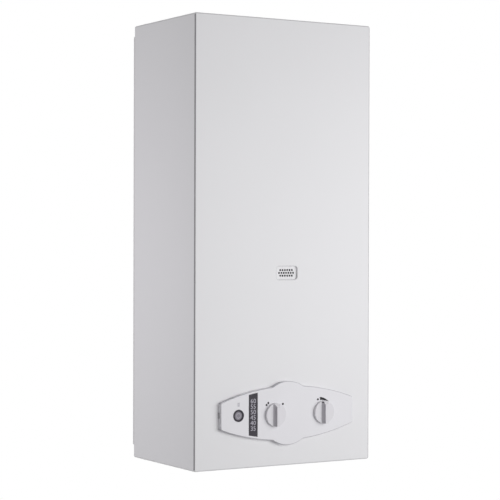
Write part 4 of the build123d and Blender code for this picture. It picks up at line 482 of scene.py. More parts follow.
overlay(buttonPlastic, ringShare, buttonRingValues)
dress(buttonPlastic, "power_button")

lampLensValues = {
    "colour": (0.62, 0.61, 0.66), "drift": (0.52, 0.51, 0.56), "driftScale": 300.0, "driftAmount": 0.6,
    "coat": 0.4, "coatRoughness": 0.05,
    "rough": (0.18, 0.26), "roughScale": 200.0,
    "grain": 1800.0, "grainStrength": 0.05, "grainDepth": 0.0001,
}
dress(newSurface("lampLens", lampLensValues), "status_lamp")

# Sight glass in the cover, nearly black, and the mica behind it
sightGlassValues = {
    "colour": (0.010, 0.010, 0.010), "drift": (0.020, 0.020, 0.018), "driftScale": 80.0, "driftAmount": 0.5,
    "ior": 1.30, "transmission": 0.15,
    "rough": (0.06, 0.14), "roughScale": 70.0,
    "grain": 400.0, "grainStrength": 0.02, "grainDepth": 0.0001,
}
dress(newSurface("sightGlass", sightGlassValues), "sight_glass")

micaSheetValues = {
    "colour": (0.52, 0.44, 0.28), "drift": (0.30, 0.21, 0.12), "driftScale": 55.0, "driftAmount": 0.8,
    "coat": 0.2, "transmission": 0.45,
    "rough": (0.14, 0.30), "roughScale": 60.0,
    "grain": 160.0, "stretch": (1.0, 1.0, 4.0), "grainStrength": 0.20, "grainDepth": 0.0002,
}
dress(newSurface("micaSheet", micaSheetValues), "flame_window")

# Galvanised and aluminised sheet
zincSheetValues = {
    "colour": (0.56, 0.57, 0.59), "drift": (0.46, 0.47, 0.49), "driftScale": 18.0, "driftAmount": 0.7,
    "metallic": 0.9, "spangle": 95.0, "spangleDepth": 0.45,
    "rubAndShade": (0.72, 0.72, 0.73), "rubAndShadeRadius": 0.0007, "rubAndShadeAmount": 0.6, "dust": 0.35,
    "rough": (0.30, 0.52), "roughScale": 60.0,
    "grain": 260.0, "grainStrength": 0.15, "grainDepth": 0.0003,
}
zincSheet = newSurface("zincSheet", zincSheetValues)
dress(zincSheet, "service_shelf", "frame_brackets", "switch_bracket", "flame_window_frame")

burnerSheetValues = {
    "colour": (0.54, 0.545, 0.56), "drift": (0.42, 0.41, 0.41), "driftScale": 22.0, "driftAmount": 0.7,
    "metallic": 0.9, "spangle": 90.0, "spangleDepth": 0.35,
    "heat": (heightOf(215), heightOf(265)), "heatAmount": 0.55,
    "rubAndShade": (0.70, 0.69, 0.68), "rubAndShadeRadius": 0.0007, "rubAndShadeAmount": 0.5, "dust": 0.30,
    "rough": (0.34, 0.55), "roughScale": 50.0,
    "grain": 240.0, "grainStrength": 0.18, "grainDepth": 0.0003,
}
dress(newSurface("burnerSheet", burnerSheetValues), "burner_frame")

hoodSheetValues = {
    "colour": (0.60, 0.605, 0.61), "drift": (0.50, 0.50, 0.50), "driftScale": 14.0, "driftAmount": 0.6,
    "metallic": 0.85, "spangle": 260.0, "spangleDepth": 0.18,
    "rubAndShade": (0.74, 0.74, 0.74), "rubAndShadeRadius": 0.0008, "rubAndShadeAmount": 0.5, "dust": 0.30,
    "rough": (0.36, 0.55), "roughScale": 30.0,
    "grain": 500.0, "stretch": (1.0, 1.0, 0.2), "grainStrength": 0.12, "grainDepth": 0.0002,
}
dress(newSurface("hoodSheet", hoodSheetValues), "flue_hood", "flue_baffle")

collarSheetValues = {
    "colour": (0.62, 0.625, 0.63), "drift": (0.52, 0.52, 0.52), "driftScale": 20.0, "driftAmount": 0.5,
    "metallic": 0.85, "spangle": 240.0, "spangleDepth": 0.15,
    "rubAndShade": (0.78, 0.78, 0.78), "rubAndShadeRadius": 0.0008, "rubAndShadeAmount": 0.7, "dust": 0.12,
    "rough": (0.30, 0.45), "roughScale": 30.0,
    "grain": 500.0, "stretch": (0.1, 0.1, 1.6), "grainStrength": 0.15, "grainDepth": 0.0002,
}
dress(newSurface("collarSheet", collarSheetValues), "flue_collar")

# Cast and drawn aluminium of the gas side
valveCastingValues = {
    "colour": (0.55, 0.55, 0.56), "drift": (0.45, 0.45, 0.46), "driftScale": 40.0, "driftAmount": 0.6,
    "metallic": 0.85, "rubAndShade": (0.74, 0.74, 0.75), "rubAndShadeRadius": 0.0010, "rubAndShadeAmount": 0.6, "dust": 0.30,
    "rough": (0.42, 0.58), "roughScale": 90.0,
    "grain": 620.0, "grainStrength": 0.45, "grainDepth": 0.0004,
}
dress(newSurface("valveCasting", valveCastingValues), "gas_valve_body", "gas_manifold")

milledCoverValues = {
    "colour": (0.62, 0.62, 0.63), "drift": (0.52, 0.52, 0.53), "driftScale": 60.0, "driftAmount": 0.5,
    "metallic": 0.9, "rubAndShade": (0.80, 0.80, 0.81), "rubAndShadeRadius": 0.0006, "rubAndShadeAmount": 0.6, "dust": 0.20,
    "rough": (0.26, 0.38), "roughScale": 60.0,
    "grain": 420.0, "stretch": (1.0, 1.0, 14.0), "grainStrength": 0.20, "grainDepth": 0.0002,
}
dress(newSurface("milledCover", milledCoverValues), "gas_valve_cover")

gasPipeSkinValues = {
    "colour": (0.66, 0.665, 0.67), "drift": (0.58, 0.58, 0.58), "driftScale": 40.0, "driftAmount": 0.5,
    "metallic": 0.95, "dust": 0.20,
    "rough": (0.22, 0.36), "roughScale": 50.0,
    "grain": 300.0, "stretch": (6.0, 1.0, 1.0), "grainStrength": 0.12, "grainDepth": 0.0002,
}
dress(newSurface("gasPipeSkin", gasPipeSkinValues), "gas_pipe")

# Brass: turned parts, castings, and the three threaded connections
turnedBrassValues = {
    "colour": (0.68, 0.50, 0.22), "drift": (0.52, 0.36, 0.16), "driftScale": 70.0, "driftAmount": 0.6,
    "metallic": 0.95, "rubAndShade": (0.86, 0.70, 0.38), "rubAndShadeRadius": 0.0005, "rubAndShadeAmount": 0.6, "dust": 0.12,
    "rough": (0.20, 0.36), "roughScale": 80.0,
    "grain": 500.0, "stretch": (1.0, 9.0, 1.0), "grainStrength": 0.12, "grainDepth": 0.0002,
}
turnedBrass = newSurface("turnedBrass", turnedBrassValues)
dress(turnedBrass, "gas_spindle", "water_spindle", "pipe_nuts", "injectors", "battery_contacts")

castBrassValues = {
    "colour": (0.58, 0.43, 0.20), "drift": (0.44, 0.31, 0.15), "driftScale": 45.0, "driftAmount": 0.7,
    "metallic": 0.9, "rubAndShade": (0.80, 0.64, 0.34), "rubAndShadeRadius": 0.0010, "rubAndShadeAmount": 0.6, "dust": 0.20,
    "rough": (0.38, 0.56), "roughScale": 80.0,
    "grain": 560.0, "grainStrength": 0.40, "grainDepth": 0.0004,
}
dress(newSurface("castBrass", castBrassValues), "water_valve_body", "water_valve_cover")

threadBrassValues = {
    "colour": (0.68, 0.50, 0.22), "drift": (0.50, 0.35, 0.16), "driftScale": 90.0, "driftAmount": 0.6,
    "metallic": 0.95, "rubAndShade": (0.86, 0.70, 0.38), "rubAndShadeRadius": 0.0006, "rubAndShadeAmount": 0.6, "dust": 0.08,
    "rough": (0.22, 0.40), "roughScale": 90.0,
    "grain": 500.0, "stretch": (1.0, 1.0, 4.0), "grainStrength": 0.12, "grainDepth": 0.0002,
}
threadBrass = newSurface("threadBrass", threadBrassValues)

# Copper: water pipes, the heated exchanger, and the grey-washed chamber
pipeCopperValues = {
    "colour": (0.68, 0.34, 0.19), "drift": (0.50, 0.25, 0.15), "driftScale": 24.0, "driftAmount": 0.7,
    "metallic": 0.95, "dust": 0.15,
    "rough": (0.26, 0.44), "roughScale": 40.0,
    "grain": 260.0, "stretch": (1.0, 1.0, 0.3), "grainStrength": 0.12, "grainDepth": 0.0003,
}
dress(newSurface("pipeCopper", pipeCopperValues), "cold_water_pipe", "hot_water_pipe", "jacket_coil")

finCopperValues = {
    "colour": (0.60, 0.29, 0.17), "drift": (0.34, 0.18, 0.14), "driftScale": 30.0, "driftAmount": 0.7,
    "metallic": 0.9, "heat": (heightOf(480), heightOf(425)), "heatAmount": 0.6, "dust": 0.15,
    "rough": (0.32, 0.52), "roughScale": 50.0,
    "grain": 260.0, "grainStrength": 0.20, "grainDepth": 0.0003,
}
dress(newSurface("finCopper", finCopperValues), "fin_pack", "exchanger_tubes")

chamberCopperValues = {
    "colour": (0.42, 0.37, 0.35), "drift": (0.50, 0.29, 0.19), "driftScale": 12.0, "driftAmount": 0.55,
    "metallic": 0.8, "heat": (heightOf(330), heightOf(262)), "heatAmount": 0.5,
    "rubAndShade": (0.66, 0.36, 0.22), "rubAndShadeRadius": 0.0010, "rubAndShadeAmount": 0.7, "dust": 0.20,
    "rough": (0.42, 0.62), "roughScale": 26.0,
    "grain": 180.0, "grainStrength": 0.25, "grainDepth": 0.0004,
}
dress(newSurface("chamberCopper", chamberCopperValues), "combustion_chamber")

# Stainless blades, blued along their upper edges by the flames
bladeSteelValues = {
    "colour": (0.55, 0.54, 0.53), "drift": (0.44, 0.43, 0.42), "driftScale": 40.0, "driftAmount": 0.5,
    "metallic": 0.95, "heat": (heightOf(215), heightOf(248)), "heatAmount": 0.9,
    "rough": (0.26, 0.42), "roughScale": 60.0,
    "grain": 400.0, "stretch": (1.0, 0.1, 1.0), "grainStrength": 0.15, "grainDepth": 0.0002,
}
dress(newSurface("bladeSteel", bladeSteelValues), "burner_blades")

# Small steel: screws, spring leaf and clip, rod, cutouts, strainer
screwZincValues = {
    "colour": (0.62, 0.62, 0.63), "drift": (0.52, 0.50, 0.46), "driftScale": 120.0, "driftAmount": 0.6,
    "metallic": 0.95, "rubAndShade": (0.80, 0.80, 0.80), "rubAndShadeRadius": 0.0004, "rubAndShadeAmount": 0.6, "dust": 0.10,
    "rough": (0.24, 0.40), "roughScale": 160.0,
    "grain": 700.0, "grainStrength": 0.10, "grainDepth": 0.0002,
}
dress(newSurface("screwZinc", screwZincValues), "fascia_screws", "valve_screws", "casing_screws")

springSteelValues = {
    "colour": (0.58, 0.58, 0.59), "drift": (0.46, 0.45, 0.44), "driftScale": 90.0, "driftAmount": 0.5,
    "metallic": 0.95,
    "rough": (0.20, 0.34), "roughScale": 120.0,
    "grain": 600.0, "stretch": (8.0, 1.0, 1.0), "grainStrength": 0.15, "grainDepth": 0.0002,
}
dress(newSurface("springSteel", springSteelValues), "microswitch_lever", "sight_glass_clip")

rodSteelValues = {
    "colour": (0.66, 0.66, 0.67), "drift": (0.58, 0.58, 0.59), "driftScale": 90.0, "driftAmount": 0.5,
    "metallic": 0.97,
    "rough": (0.14, 0.24), "roughScale": 120.0,
    "grain": 800.0, "stretch": (10.0, 1.0, 1.0), "grainStrength": 0.10, "grainDepth": 0.0001,
}
dress(newSurface("rodSteel", rodSteelValues), "valve_rod")

cutoutSteelValues = {
    "colour": (0.60, 0.59, 0.57), "drift": (0.48, 0.46, 0.42), "driftScale": 80.0, "driftAmount": 0.6,
    "metallic": 0.9, "rubAndShade": (0.76, 0.76, 0.75), "rubAndShadeRadius": 0.0006, "rubAndShadeAmount": 0.5, "dust": 0.20,
    "rough": (0.28, 0.44), "roughScale": 90.0,
    "grain": 500.0, "stretch": (1.0, 5.0, 1.0), "grainStrength": 0.15, "grainDepth": 0.0002,
}
dress(newSurface("cutoutSteel", cutoutSteelValues), "thermal_cutouts")

strainerMeshValues = {
    "colour": (0.52, 0.52, 0.52), "drift": (0.30, 0.30, 0.30), "driftScale": 1400.0, "driftAmount": 0.9,
    "metallic": 0.9,
    "rough": (0.30, 0.50), "roughScale": 900.0,
    "grain": 1500.0, "grainStrength": 0.80, "grainDepth": 0.0005,
}
dress(newSurface("strainerMesh", strainerMeshValues), "inlet_filter")

# Black mouldings of the electrical parts, and the tray
unitMouldingValues = {
    "colour": (0.020, 0.020, 0.022), "drift": (0.032, 0.032, 0.034), "driftScale": 40.0, "driftAmount": 0.6,
    "rubAndShade": (0.07, 0.07, 0.075), "rubAndShadeRadius": 0.0007, "rubAndShadeAmount": 0.6, "dust": 0.25,
    "rough": (0.46, 0.60), "roughScale": 60.0,
    "grain": 1500.0, "grainStrength": 0.35, "grainDepth": 0.0002,
}
dress(newSurface("unitMoulding", unitMouldingValues), "control_unit", "microswitch", "battery_box")

trayMouldingValues = {
    "colour": (0.045, 0.045, 0.048), "drift": (0.060, 0.060, 0.062), "driftScale": 40.0, "driftAmount": 0.6,
    "rubAndShade": (0.11, 0.11, 0.115), "rubAndShadeRadius": 0.0008, "rubAndShadeAmount": 0.6, "dust": 0.10,
    "rough": (0.42, 0.56), "roughScale": 60.0,
    "grain": 1500.0, "grainStrength": 0.30, "grainDepth": 0.0002,
}
dress(newSurface("trayMoulding", trayMouldingValues), "battery_tray")

plungerNylonValues = {
    "colour": (0.70, 0.67, 0.58), "drift": (0.62, 0.58, 0.48), "driftScale": 160.0, "driftAmount": 0.5,
    "subsurface": 0.1,
    "rough": (0.36, 0.48), "roughScale": 160.0,
    "grain": 1800.0, "grainStrength": 0.10, "grainDepth": 0.0001,
}
dress(newSurface("plungerNylon", plungerNylonValues), "switch_plunger")

# Display board: green lacquer with pale light bars
boardLacquerValues = {
    "colour": (0.018, 0.14, 0.055), "drift": (0.030, 0.19, 0.075), "driftScale": 250.0, "driftAmount": 0.6,
    "coat": 0.4, "coatRoughness": 0.15,
    "rough": (0.30, 0.42), "roughScale": 150.0,
    "grain": 900.0, "grainStrength": 0.20, "grainDepth": 0.0002,
}
boardLacquer = newSurface("boardLacquer", boardLacquerValues)
barPrintValues = {"colour": (0.62, 0.61, 0.56), "rough": 0.35, "deep": 4.4 * mm}
boardLow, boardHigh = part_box("display_board")
barShare = boxShareOf(boardLacquer.node_tree, (boardLow.x, boardLow.y - mm, boardLow.z),
                      (boardHigh.x, boardLow.y + barPrintValues["deep"], boardHigh.z))
overlay(boardLacquer, barShare, barPrintValues)
dress(boardLacquer, "display_board")

# Two cells in plain jackets with bare metal ends
cellJacketValues = {
    "colour": (0.10, 0.15, 0.23), "drift": (0.12, 0.17, 0.25), "driftScale": 60.0, "driftAmount": 0.5,
    "metallic": 0.35, "coat": 0.3,
    "rough": (0.26, 0.36), "roughScale": 60.0,
    "grain": 700.0, "grainStrength": 0.04, "grainDepth": 0.0001,
}
cellJacket = newSurface("cellJacket", cellJacketValues)
cellEndValues = {
    "colour": (0.66, 0.66, 0.66), "rough": 0.25, "metallic": 0.95, "lower": 2 * mm, "upper": 3.5 * mm,
}
cellLow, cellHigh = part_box("batteries")
for endLow, endHigh in ((cellLow.z - mm, cellLow.z + cellEndValues["lower"]),
                        (cellHigh.z - cellEndValues["upper"], cellHigh.z + mm)):
    endShare = boxShareOf(cellJacket.node_tree, (cellLow.x - mm, cellLow.y - mm, endLow),
                          (cellHigh.x + mm, cellHigh.y + mm, endHigh))
    overlay(cellJacket, endShare, cellEndValues)
dress(cellJacket, "batteries")

# Rubber diaphragm
diaphragmRubberValues = {
    "colour": (0.016, 0.016, 0.017), "drift": (0.028, 0.027, 0.027), "driftScale": 60.0, "driftAmount": 0.6,
    "dust": 0.1,
    "rough": (0.62, 0.76), "roughScale": 60.0,
    "grain": 900.0, "grainStrength": 0.30, "grainDepth": 0.0002,
}
dress(newSurface("diaphragmRubber", diaphragmRubberValues), "valve_diaphragm")

# Glazed ceramic of the two electrodes: steel wire in the flame, steel tab outside
electrodeGlazeValues = {
    "colour": (0.76, 0.73, 0.66), "drift": (0.62, 0.57, 0.48), "driftScale": 120.0, "driftAmount": 0.5,
    "coat": 0.5, "coatRoughness": 0.08,
    "rough": (0.20, 0.32), "roughScale": 120.0,
    "grain": 500.0, "grainStrength": 0.06, "grainDepth": 0.0001,
}
electrodeGlaze = newSurface("electrodeGlaze", electrodeGlazeValues)
electrodeWireValues = {
    "colour": (0.40, 0.37, 0.36), "rough": 0.35, "metallic": 0.95, "front": -144.0 * mm, "back": 0.0,
}
electrodeTabValues = {
    "colour": (0.56, 0.56, 0.57), "rough": 0.35, "metallic": 0.95, "front": -151.2 * mm, "back": -149.9 * mm,
}
for steelValues in (electrodeWireValues, electrodeTabValues):
    steelShare = slabShareOf(electrodeGlaze.node_tree, steelValues["front"], steelValues["back"])
    overlay(electrodeGlaze, steelShare, steelValues)
dress(electrodeGlaze, "ignition_electrode", "flame_sensor")

# Lacquered can of the solenoid on its plated foot
canLacquerValues = {
    "colour": (0.030, 0.030, 0.034), "drift": (0.045, 0.045, 0.048), "driftScale": 60.0, "driftAmount": 0.6,
    "coat": 0.3, "coatRoughness": 0.12,
    "rubAndShade": (0.25, 0.25, 0.25), "rubAndShadeRadius": 0.0007, "rubAndShadeAmount": 0.5, "dust": 0.2,
    "rough": (0.28, 0.40), "roughScale": 60.0,
    "grain": 600.0, "grainStrength": 0.10, "grainDepth": 0.0002,
}
canLacquer = newSurface("canLacquer", canLacquerValues)
canFootValues = {"colour": (0.60, 0.58, 0.50), "rough": 0.32, "metallic": 0.95, "tall": 6 * mm}
canLow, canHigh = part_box("solenoid_valve")
footShare = boxShareOf(canLacquer.node_tree, (canLow.x - mm, canLow.y - mm, canLow.z - mm),
                       (canHigh.x + mm, canHigh.y + mm, canLow.z + canFootValues["tall"]))
overlay(canLacquer, footShare, canFootValues)
dress(canLacquer, "solenoid_valve")

# Silicone sleeves of the leads
leadSleeveValues = {
    "colour": (0.56, 0.20, 0.12), "drift": (0.66, 0.62, 0.54), "driftScale": 7.0, "driftAmount": 0.9,
    "dust": 0.2,
    "rough": (0.44, 0.56), "roughScale": 60.0,
    "grain": 900.0, "grainStrength": 0.15, "grainDepth": 0.0002,
}
dress(newSurface("leadSleeve", leadSleeveValues), "wiring_leads")
print("heater materials dressed")

# Inks of the marks round the knobs and of the numbers on the strip
panelInkValues = {
    "colour": (0.008, 0.007, 0.010), "drift": (0.012, 0.011, 0.014), "driftScale": 500.0, "driftAmount": 0.6,
    "rough": (0.40, 0.50), "roughScale": 300.0,
    "grain": 2500.0, "grainStrength": 0.05, "grainDepth": 0.0001,
}
panelInk = newSurface("panelInk", panelInkValues)

digitPrintValues = {
    "colour": (0.50, 0.485, 0.55), "drift": (0.44, 0.425, 0.48), "driftScale": 500.0, "driftAmount": 0.6,
    "rough": (0.36, 0.46), "roughScale": 300.0,
    "grain": 2500.0, "grainStrength": 0.05, "grainDepth": 0.0001,
}
digitPrint = newSurface("digitPrint", digitPrintValues)

printThick = 0.12 * mm
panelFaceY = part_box("fascia")[0].y


def selectOnly(*pieces):
    bpy.ops.object.select_all(action="DESELECT")
    for piece in pieces:
        piece.select_set(True)
        bpy.context.view_layer.objects.active = pieces[0]


def applyPlace():
    bpy.ops.object.transform_apply(location=True, rotation=True, scale=True)


def startEdit():
    bpy.ops.object.mode_set(mode="EDIT")
    bpy.ops.mesh.select_all(action="SELECT")


def endEdit():
    bpy.ops.mesh.normals_make_consistent(inside=False)
    bpy.ops.object.mode_set(mode="OBJECT")


def bevelEdges(width):
    startEdit()
    bpy.ops.mesh.bevel(offset=width, segments=1)
    bpy.ops.object.mode_set(mode="OBJECT")


def settle(piece, name, material, body):
    selectOnly(piece)
    applyPlace()
    piece.name = name
    piece.data.name = name
    piece.data.materials.clear()
    piece.data.materials.append(material)
    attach(piece, body)


def joinPieces(pieces):
    selectOnly(*pieces)
    bpy.ops.object.join()
    return pieces[0]


def printedDot(facets, across, up, width, tall):
    selectOnly()
    bpy.ops.mesh.primitive_cylinder_add(vertices=facets, radius=0.5, depth=1.0,
                                        location=(across * mm, panelFaceY, heightOf(up)),
                                        rotation=(math.pi / 2, 0.0, 0.0))
    dot = bpy.context.active_object
    dot.scale = (width * mm, tall * mm, printThick)
    applyPlace()
    bevelEdges(printThick / 3)
    return dot


# Two touching dots and a single one for the power knob, a single one for the flow knob: each has its
# place across and up, its width and its height
knobDotsValues = {
    "facets": 24,
    "dots": ((-34.4, 90.3, 3.3, 3.3), (-31.5, 93.0, 3.3, 3.3), (-6.8, 90.6, 3.3, 3.3),
             (53.9, 94.4, 3.8, 3.0)),
}
knobDots = joinPieces([printedDot(knobDotsValues["facets"], *dot) for dot in knobDotsValues["dots"]])
settle(knobDots, "knobDots", panelInk, "cover")

# Tapered arc over the flow knob, thick where the flow is full
flowArcValues = {
    "start": (57.6, 95.2), "startHandle": (62.8, 96.2), "end": (74.0, 88.7), "endHandle": (70.8, 91.9),
    "thick": 2.3, "thin": 0.6, "rounding": 2, "steps": 16,
}


def panelPoint(point):
    return Vector((point[0] * mm, panelFaceY, heightOf(point[1])))


selectOnly()
bpy.ops.curve.primitive_bezier_curve_add(location=(0.0, 0.0, 0.0))
flowArc = bpy.context.active_object
flowArc.data.bevel_depth = mm
flowArc.data.bevel_resolution = flowArcValues["rounding"]
flowArc.data.resolution_u = flowArcValues["steps"]
flowArc.data.use_fill_caps = True
arcStart, arcEnd = flowArc.data.splines[0].bezier_points
for point in (arcStart, arcEnd):
    point.handle_left_type = "FREE"
    point.handle_right_type = "FREE"
arcStart.co = panelPoint(flowArcValues["start"])
arcStart.handle_right = panelPoint(flowArcValues["startHandle"])
arcStart.handle_left = arcStart.co * 2 - arcStart.handle_right
arcStart.radius = flowArcValues["thick"]
arcEnd.co = panelPoint(flowArcValues["end"])
arcEnd.handle_left = panelPoint(flowArcValues["endHandle"])
arcEnd.handle_right = arcEnd.co * 2 - arcEnd.handle_left
arcEnd.radius = flowArcValues["thin"]
bpy.ops.object.convert(target="MESH")
flowArc = bpy.context.active_object
flatten = printThick / (flowArcValues["thick"] * mm)
startEdit()
bpy.ops.transform.resize(value=(1.0, flatten, 1.0), orient_type="GLOBAL",
                         center_override=(0.0, panelFaceY, 0.0))
endEdit()
settle(flowArc, "flowArc", panelInk, "cover")

# Plain temperatures on the strip
stripDigitsValues = {
    "numbers": ("35", "40", "45", "50", "55", "60"), "across": -56.9, "lowest": 57.2, "pitch": 7.9,
    "tall": 9.2 * mm, "steps": 3,
}
digitPieces = []
for step, number in enumerate(stripDigitsValues["numbers"]):
    selectOnly()
    up = stripDigitsValues["lowest"] + step * stripDigitsValues["pitch"]
    bpy.ops.object.text_add(location=(stripDigitsValues["across"] * mm, panelFaceY, heightOf(up)),
                            rotation=(math.pi / 2, 0.0, 0.0))
    digits = bpy.context.active_object
    digits.data.body = number
    digits.data.align_x = "CENTER"
    digits.data.align_y = "CENTER"
    digits.data.size = stripDigitsValues["tall"]
    digits.data.extrude = printThick / 2
    digits.data.resolution_u = stripDigitsValues["steps"]
    bpy.ops.object.convert(target="MESH")
    digitPieces.append(bpy.context.active_object)
stripDigits = joinPieces(digitPieces)
settle(stripDigits, "stripDigits", digitPrint, "cover")
print("printed marks made")

# The three connections with their cut threads, made once and copied for each pipe: "outside" runs
# round the body's section, each point by its radius and height
threadValues = {
    "crest": 10.48, "root": 9.25, "pitch": 1.814, "halfCrest": 0.12, "halfGap": 0.05,
    "turns": 10, "steps": 40, "foot": -7.5,
    "outside": ((6.0, -8.0), (8.9, -8.0), (9.35, -7.5), (9.35, 11.4), (10.2, 12.0), (10.2, 33.0), (9.0, 33.0),
                (9.0, 54.6), (8.6, 55.0), (6.0, 55.0)),
    "facets": 64, "weld": 0.01,
    "shoulderRadius": 15.59, "shoulderLow": 23.5, "shoulderTall": 9.0, "shoulderBevel": 0.5,
}
gasMiddle = middleOf("gas_connection")


def onGasAxis(up):
    return (gasMiddle.x, gasMiddle.y, heightOf(up))


def turnedBody(values):
    selectOnly()
    axisPlace = onGasAxis(values["outside"][0][1])
    bpy.ops.mesh.primitive_circle_add(vertices=values["facets"], radius=values["outside"][0][0] * mm,
                                      location=axisPlace)
    applyPlace()
    startEdit()
    rings = list(values["outside"]) + [values["outside"][0]]
    for (nearRadius, nearUp), (farRadius, farUp) in zip(rings, rings[1:]):
        widen = farRadius / nearRadius
        rise = (0.0, 0.0, (farUp - nearUp) * mm)
        bpy.ops.mesh.extrude_edges_move(TRANSFORM_OT_translate={"value": rise})
        bpy.ops.transform.resize(value=(widen, widen, 1.0), orient_type="GLOBAL", center_override=axisPlace)
    bpy.ops.mesh.select_all(action="SELECT")
    bpy.ops.mesh.remove_doubles(threshold=values["weld"] * mm)
    endEdit()
    return bpy.context.active_object


def threadRidge(values):
    selectOnly()
    half = values["pitch"] / 2
    bpy.ops.mesh.primitive_circle_add(vertices=4, radius=mm, location=(0.0, 0.0, 0.0))
    ridge = bpy.context.active_object
    corners = ((values["root"], values["halfGap"]), (values["crest"], half - values["halfCrest"]),
               (values["crest"], half + values["halfCrest"]),
               (values["root"], values["pitch"] - values["halfGap"]))
    for corner, (away, up) in zip(ridge.data.vertices, corners):
        corner.co = (away * mm, 0.0, up * mm)
    winding = ridge.modifiers.new("winding", "SCREW")
    winding.axis = "Z"
    winding.screw_offset = values["pitch"] * mm
    winding.iterations = values["turns"]
    winding.steps = values["steps"]
    winding.render_steps = values["steps"]
    winding.use_smooth_shade = False
    bpy.ops.object.modifier_apply(modifier=winding.name)
    bpy.ops.object.mode_set(mode="EDIT")
    bpy.ops.mesh.select_all(action="DESELECT")
    bpy.ops.mesh.select_non_manifold(extend=False, use_wire=False, use_multi_face=False,
                                     use_non_contiguous=False, use_verts=False)
    bpy.ops.mesh.edge_face_add()
    bpy.ops.mesh.select_all(action="SELECT")
    bpy.ops.transform.translate(value=onGasAxis(values["foot"]))
    endEdit()
    return ridge


def shoulderHexagon(values):
    selectOnly()
    middle = onGasAxis(values["shoulderLow"] + values["shoulderTall"] / 2)
    bpy.ops.mesh.primitive_cylinder_add(vertices=6, radius=values["shoulderRadius"] * mm,
                                        depth=values["shoulderTall"] * mm, rotation=(0.0, 0.0, math.pi / 6),
                                        location=middle)
    applyPlace()
    bevelEdges(values["shoulderBevel"] * mm)
    return bpy.context.active_object


pipeEnd = joinPieces([turnedBody(threadValues), threadRidge(threadValues), shoulderHexagon(threadValues)])
pipeEnds = {"gas": pipeEnd}
for fluid in ("hot", "cold"):
    selectOnly(pipeEnd)
    bpy.ops.object.duplicate()
    pipeEnds[fluid] = bpy.context.active_object
    bpy.ops.transform.translate(value=middleOf(fluid + "_connection") - gasMiddle)
for fluid, piece in pipeEnds.items():
    settle(piece, fluid + "ThreadedEnd", threadBrass, "chassis")
    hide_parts(fluid + "_connection")
print("threaded ends made")

# Camera where the photograph was taken from
cameraValues = {
    "place": (-1.2982, -2.2691, -0.2596), "tip": -0.386, "roll": -0.162, "turn": -30.835,
    "lens": 120.97, "sensor": 36.0, "nearest": 0.05, "furthest": 60.0,
}
tip = Matrix.Rotation(math.radians(cameraValues["tip"]), 3, "X")
roll = Matrix.Rotation(math.radians(cameraValues["roll"]), 3, "Y")
turn = Matrix.Rotation(math.radians(cameraValues["turn"]), 3, "Z")
looking = turn @ tip @ roll
cameraAxes = Matrix((looking.col[0], looking.col[2], -looking.col[1])).transposed()
bpy.ops.object.camera_add()
heaterCamera = bpy.context.active_object
heaterCamera.name = "heaterCamera"
heaterCamera.matrix_world = Matrix.Translation(Vector(cameraValues["place"])) @ cameraAxes.to_4x4()
heaterCamera.data.lens = cameraValues["lens"]
heaterCamera.data.sensor_width = cameraValues["sensor"]
heaterCamera.data.clip_start = cameraValues["nearest"]
heaterCamera.data.clip_end = cameraValues["furthest"]
bpy.context.scene.camera = heaterCamera
print("camera placed")

white = colourOf(1.0, 1.0, 1.0)


def rayThatSees(tree):
    ray = tree.nodes.new("ShaderNodeLightPath").outputs
    sees = reckon(tree, "MAXIMUM", ray["Is Camera Ray"], ray["Is Glossy Ray"])
    return reckon(tree, "MAXIMUM", sees, ray["Is Transmission Ray"])


# Pale floor a metre below the heater, which takes its shadow and is clear when seen from below
floorValues = {"level": -1.65, "reach": 8.0, "colour": 0.80, "glow": 0.82}
bpy.ops.mesh.primitive_plane_add(size=floorValues["reach"], location=(0.0, 0.0, floorValues["level"]))
heaterFloor = bpy.context.active_object
heaterFloor.name = "heaterFloor"
floorPaint = bpy.data.materials.new("floorPaint")
floorPaint.use_nodes = True
floorTree = floorPaint.node_tree
floorTree.nodes.clear()
floorShade = colourOf(floorValues["colour"], floorValues["colour"], floorValues["colour"])
floorDiffuse = addNode(floorTree, "ShaderNodeBsdfDiffuse", {}, {"Color": floorShade})
floorGlow = addNode(floorTree, "ShaderNodeEmission", {}, {
    "Color": white, "Strength": reckon(floorTree, "MULTIPLY", rayThatSees(floorTree), floorValues["glow"])})
floorSum = addNode(floorTree, "ShaderNodeAddShader", {},
                   {0: floorDiffuse.outputs[0], 1: floorGlow.outputs[0]})
floorUnder = floorTree.nodes.new("ShaderNodeNewGeometry").outputs["Backfacing"]
floorClear = floorTree.nodes.new("ShaderNodeBsdfTransparent").outputs[0]
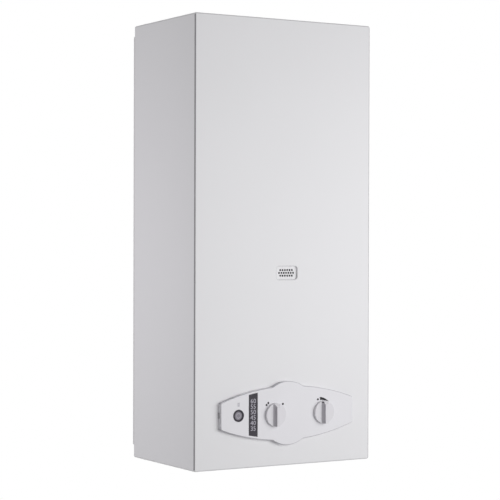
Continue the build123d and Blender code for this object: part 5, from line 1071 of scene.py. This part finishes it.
floorMix = addNode(floorTree, "ShaderNodeMixShader", {},
                   {0: floorUnder, 1: floorSum.outputs[0], 2: floorClear})
addNode(floorTree, "ShaderNodeOutputMaterial", {}, {"Surface": floorMix.outputs[0]})
heaterFloor.data.materials.append(floorPaint)

# White all round for the eye, plain grey light for the surfaces
worldValues = {"seen": 1.0, "light": 0.28}
heaterWorld = bpy.data.worlds.new("heaterWorld")
bpy.context.scene.world = heaterWorld
heaterWorld.use_nodes = True
worldTree = heaterWorld.node_tree
worldTree.nodes.clear()
worldStrength = spread(worldTree, rayThatSees(worldTree), 0.0, 1.0, worldValues["light"], worldValues["seen"])
worldBack = addNode(worldTree, "ShaderNodeBackground", {}, {"Color": white, "Strength": worldStrength})
addNode(worldTree, "ShaderNodeOutputWorld", {}, {"Surface": worldBack.outputs[0]})


def addLamp(name, values):
    bpy.ops.object.light_add(type="AREA", location=values["place"])
    lamp = bpy.context.active_object
    lamp.name = name
    lamp.data.shape = "RECTANGLE"
    lamp.data.size = values["width"]
    lamp.data.size_y = values["tall"]
    lamp.data.energy = values["power"]
    lamp.data.color = values["colour"]
    aim = Vector(values["aim"]) - Vector(values["place"])
    lamp.rotation_mode = "QUATERNION"
    lamp.rotation_quaternion = aim.to_track_quat("-Z", "Y")
    lamp.visible_camera = False
    lamp.visible_glossy = False


keyLampValues = {
    "place": (0.48, -1.30, -0.28), "aim": (0.06, -0.19, -0.28), "width": 1.6, "tall": 0.7, "power": 13.0,
    "colour": (1.0, 1.0, 1.0),
}
fillLampValues = {
    "place": (-0.85, 0.08, -0.30), "aim": (-0.15, -0.1, -0.30), "width": 0.5, "tall": 0.4, "power": 2.38,
    "colour": (0.985, 0.962, 1.0),
}
rearLampValues = {
    "place": (0.95, 0.95, 0.75), "aim": (0.0, -0.1, -0.2), "width": 1.0, "tall": 1.0, "power": 17.0,
    "colour": (1.0, 1.0, 1.0),
}
addLamp("keyLamp", keyLampValues)
addLamp("fillLamp", fillLampValues)
addLamp("rearLamp", rearLampValues)
bpy.context.scene.view_settings.view_transform = "Standard"
print("floor, world and lamps set")
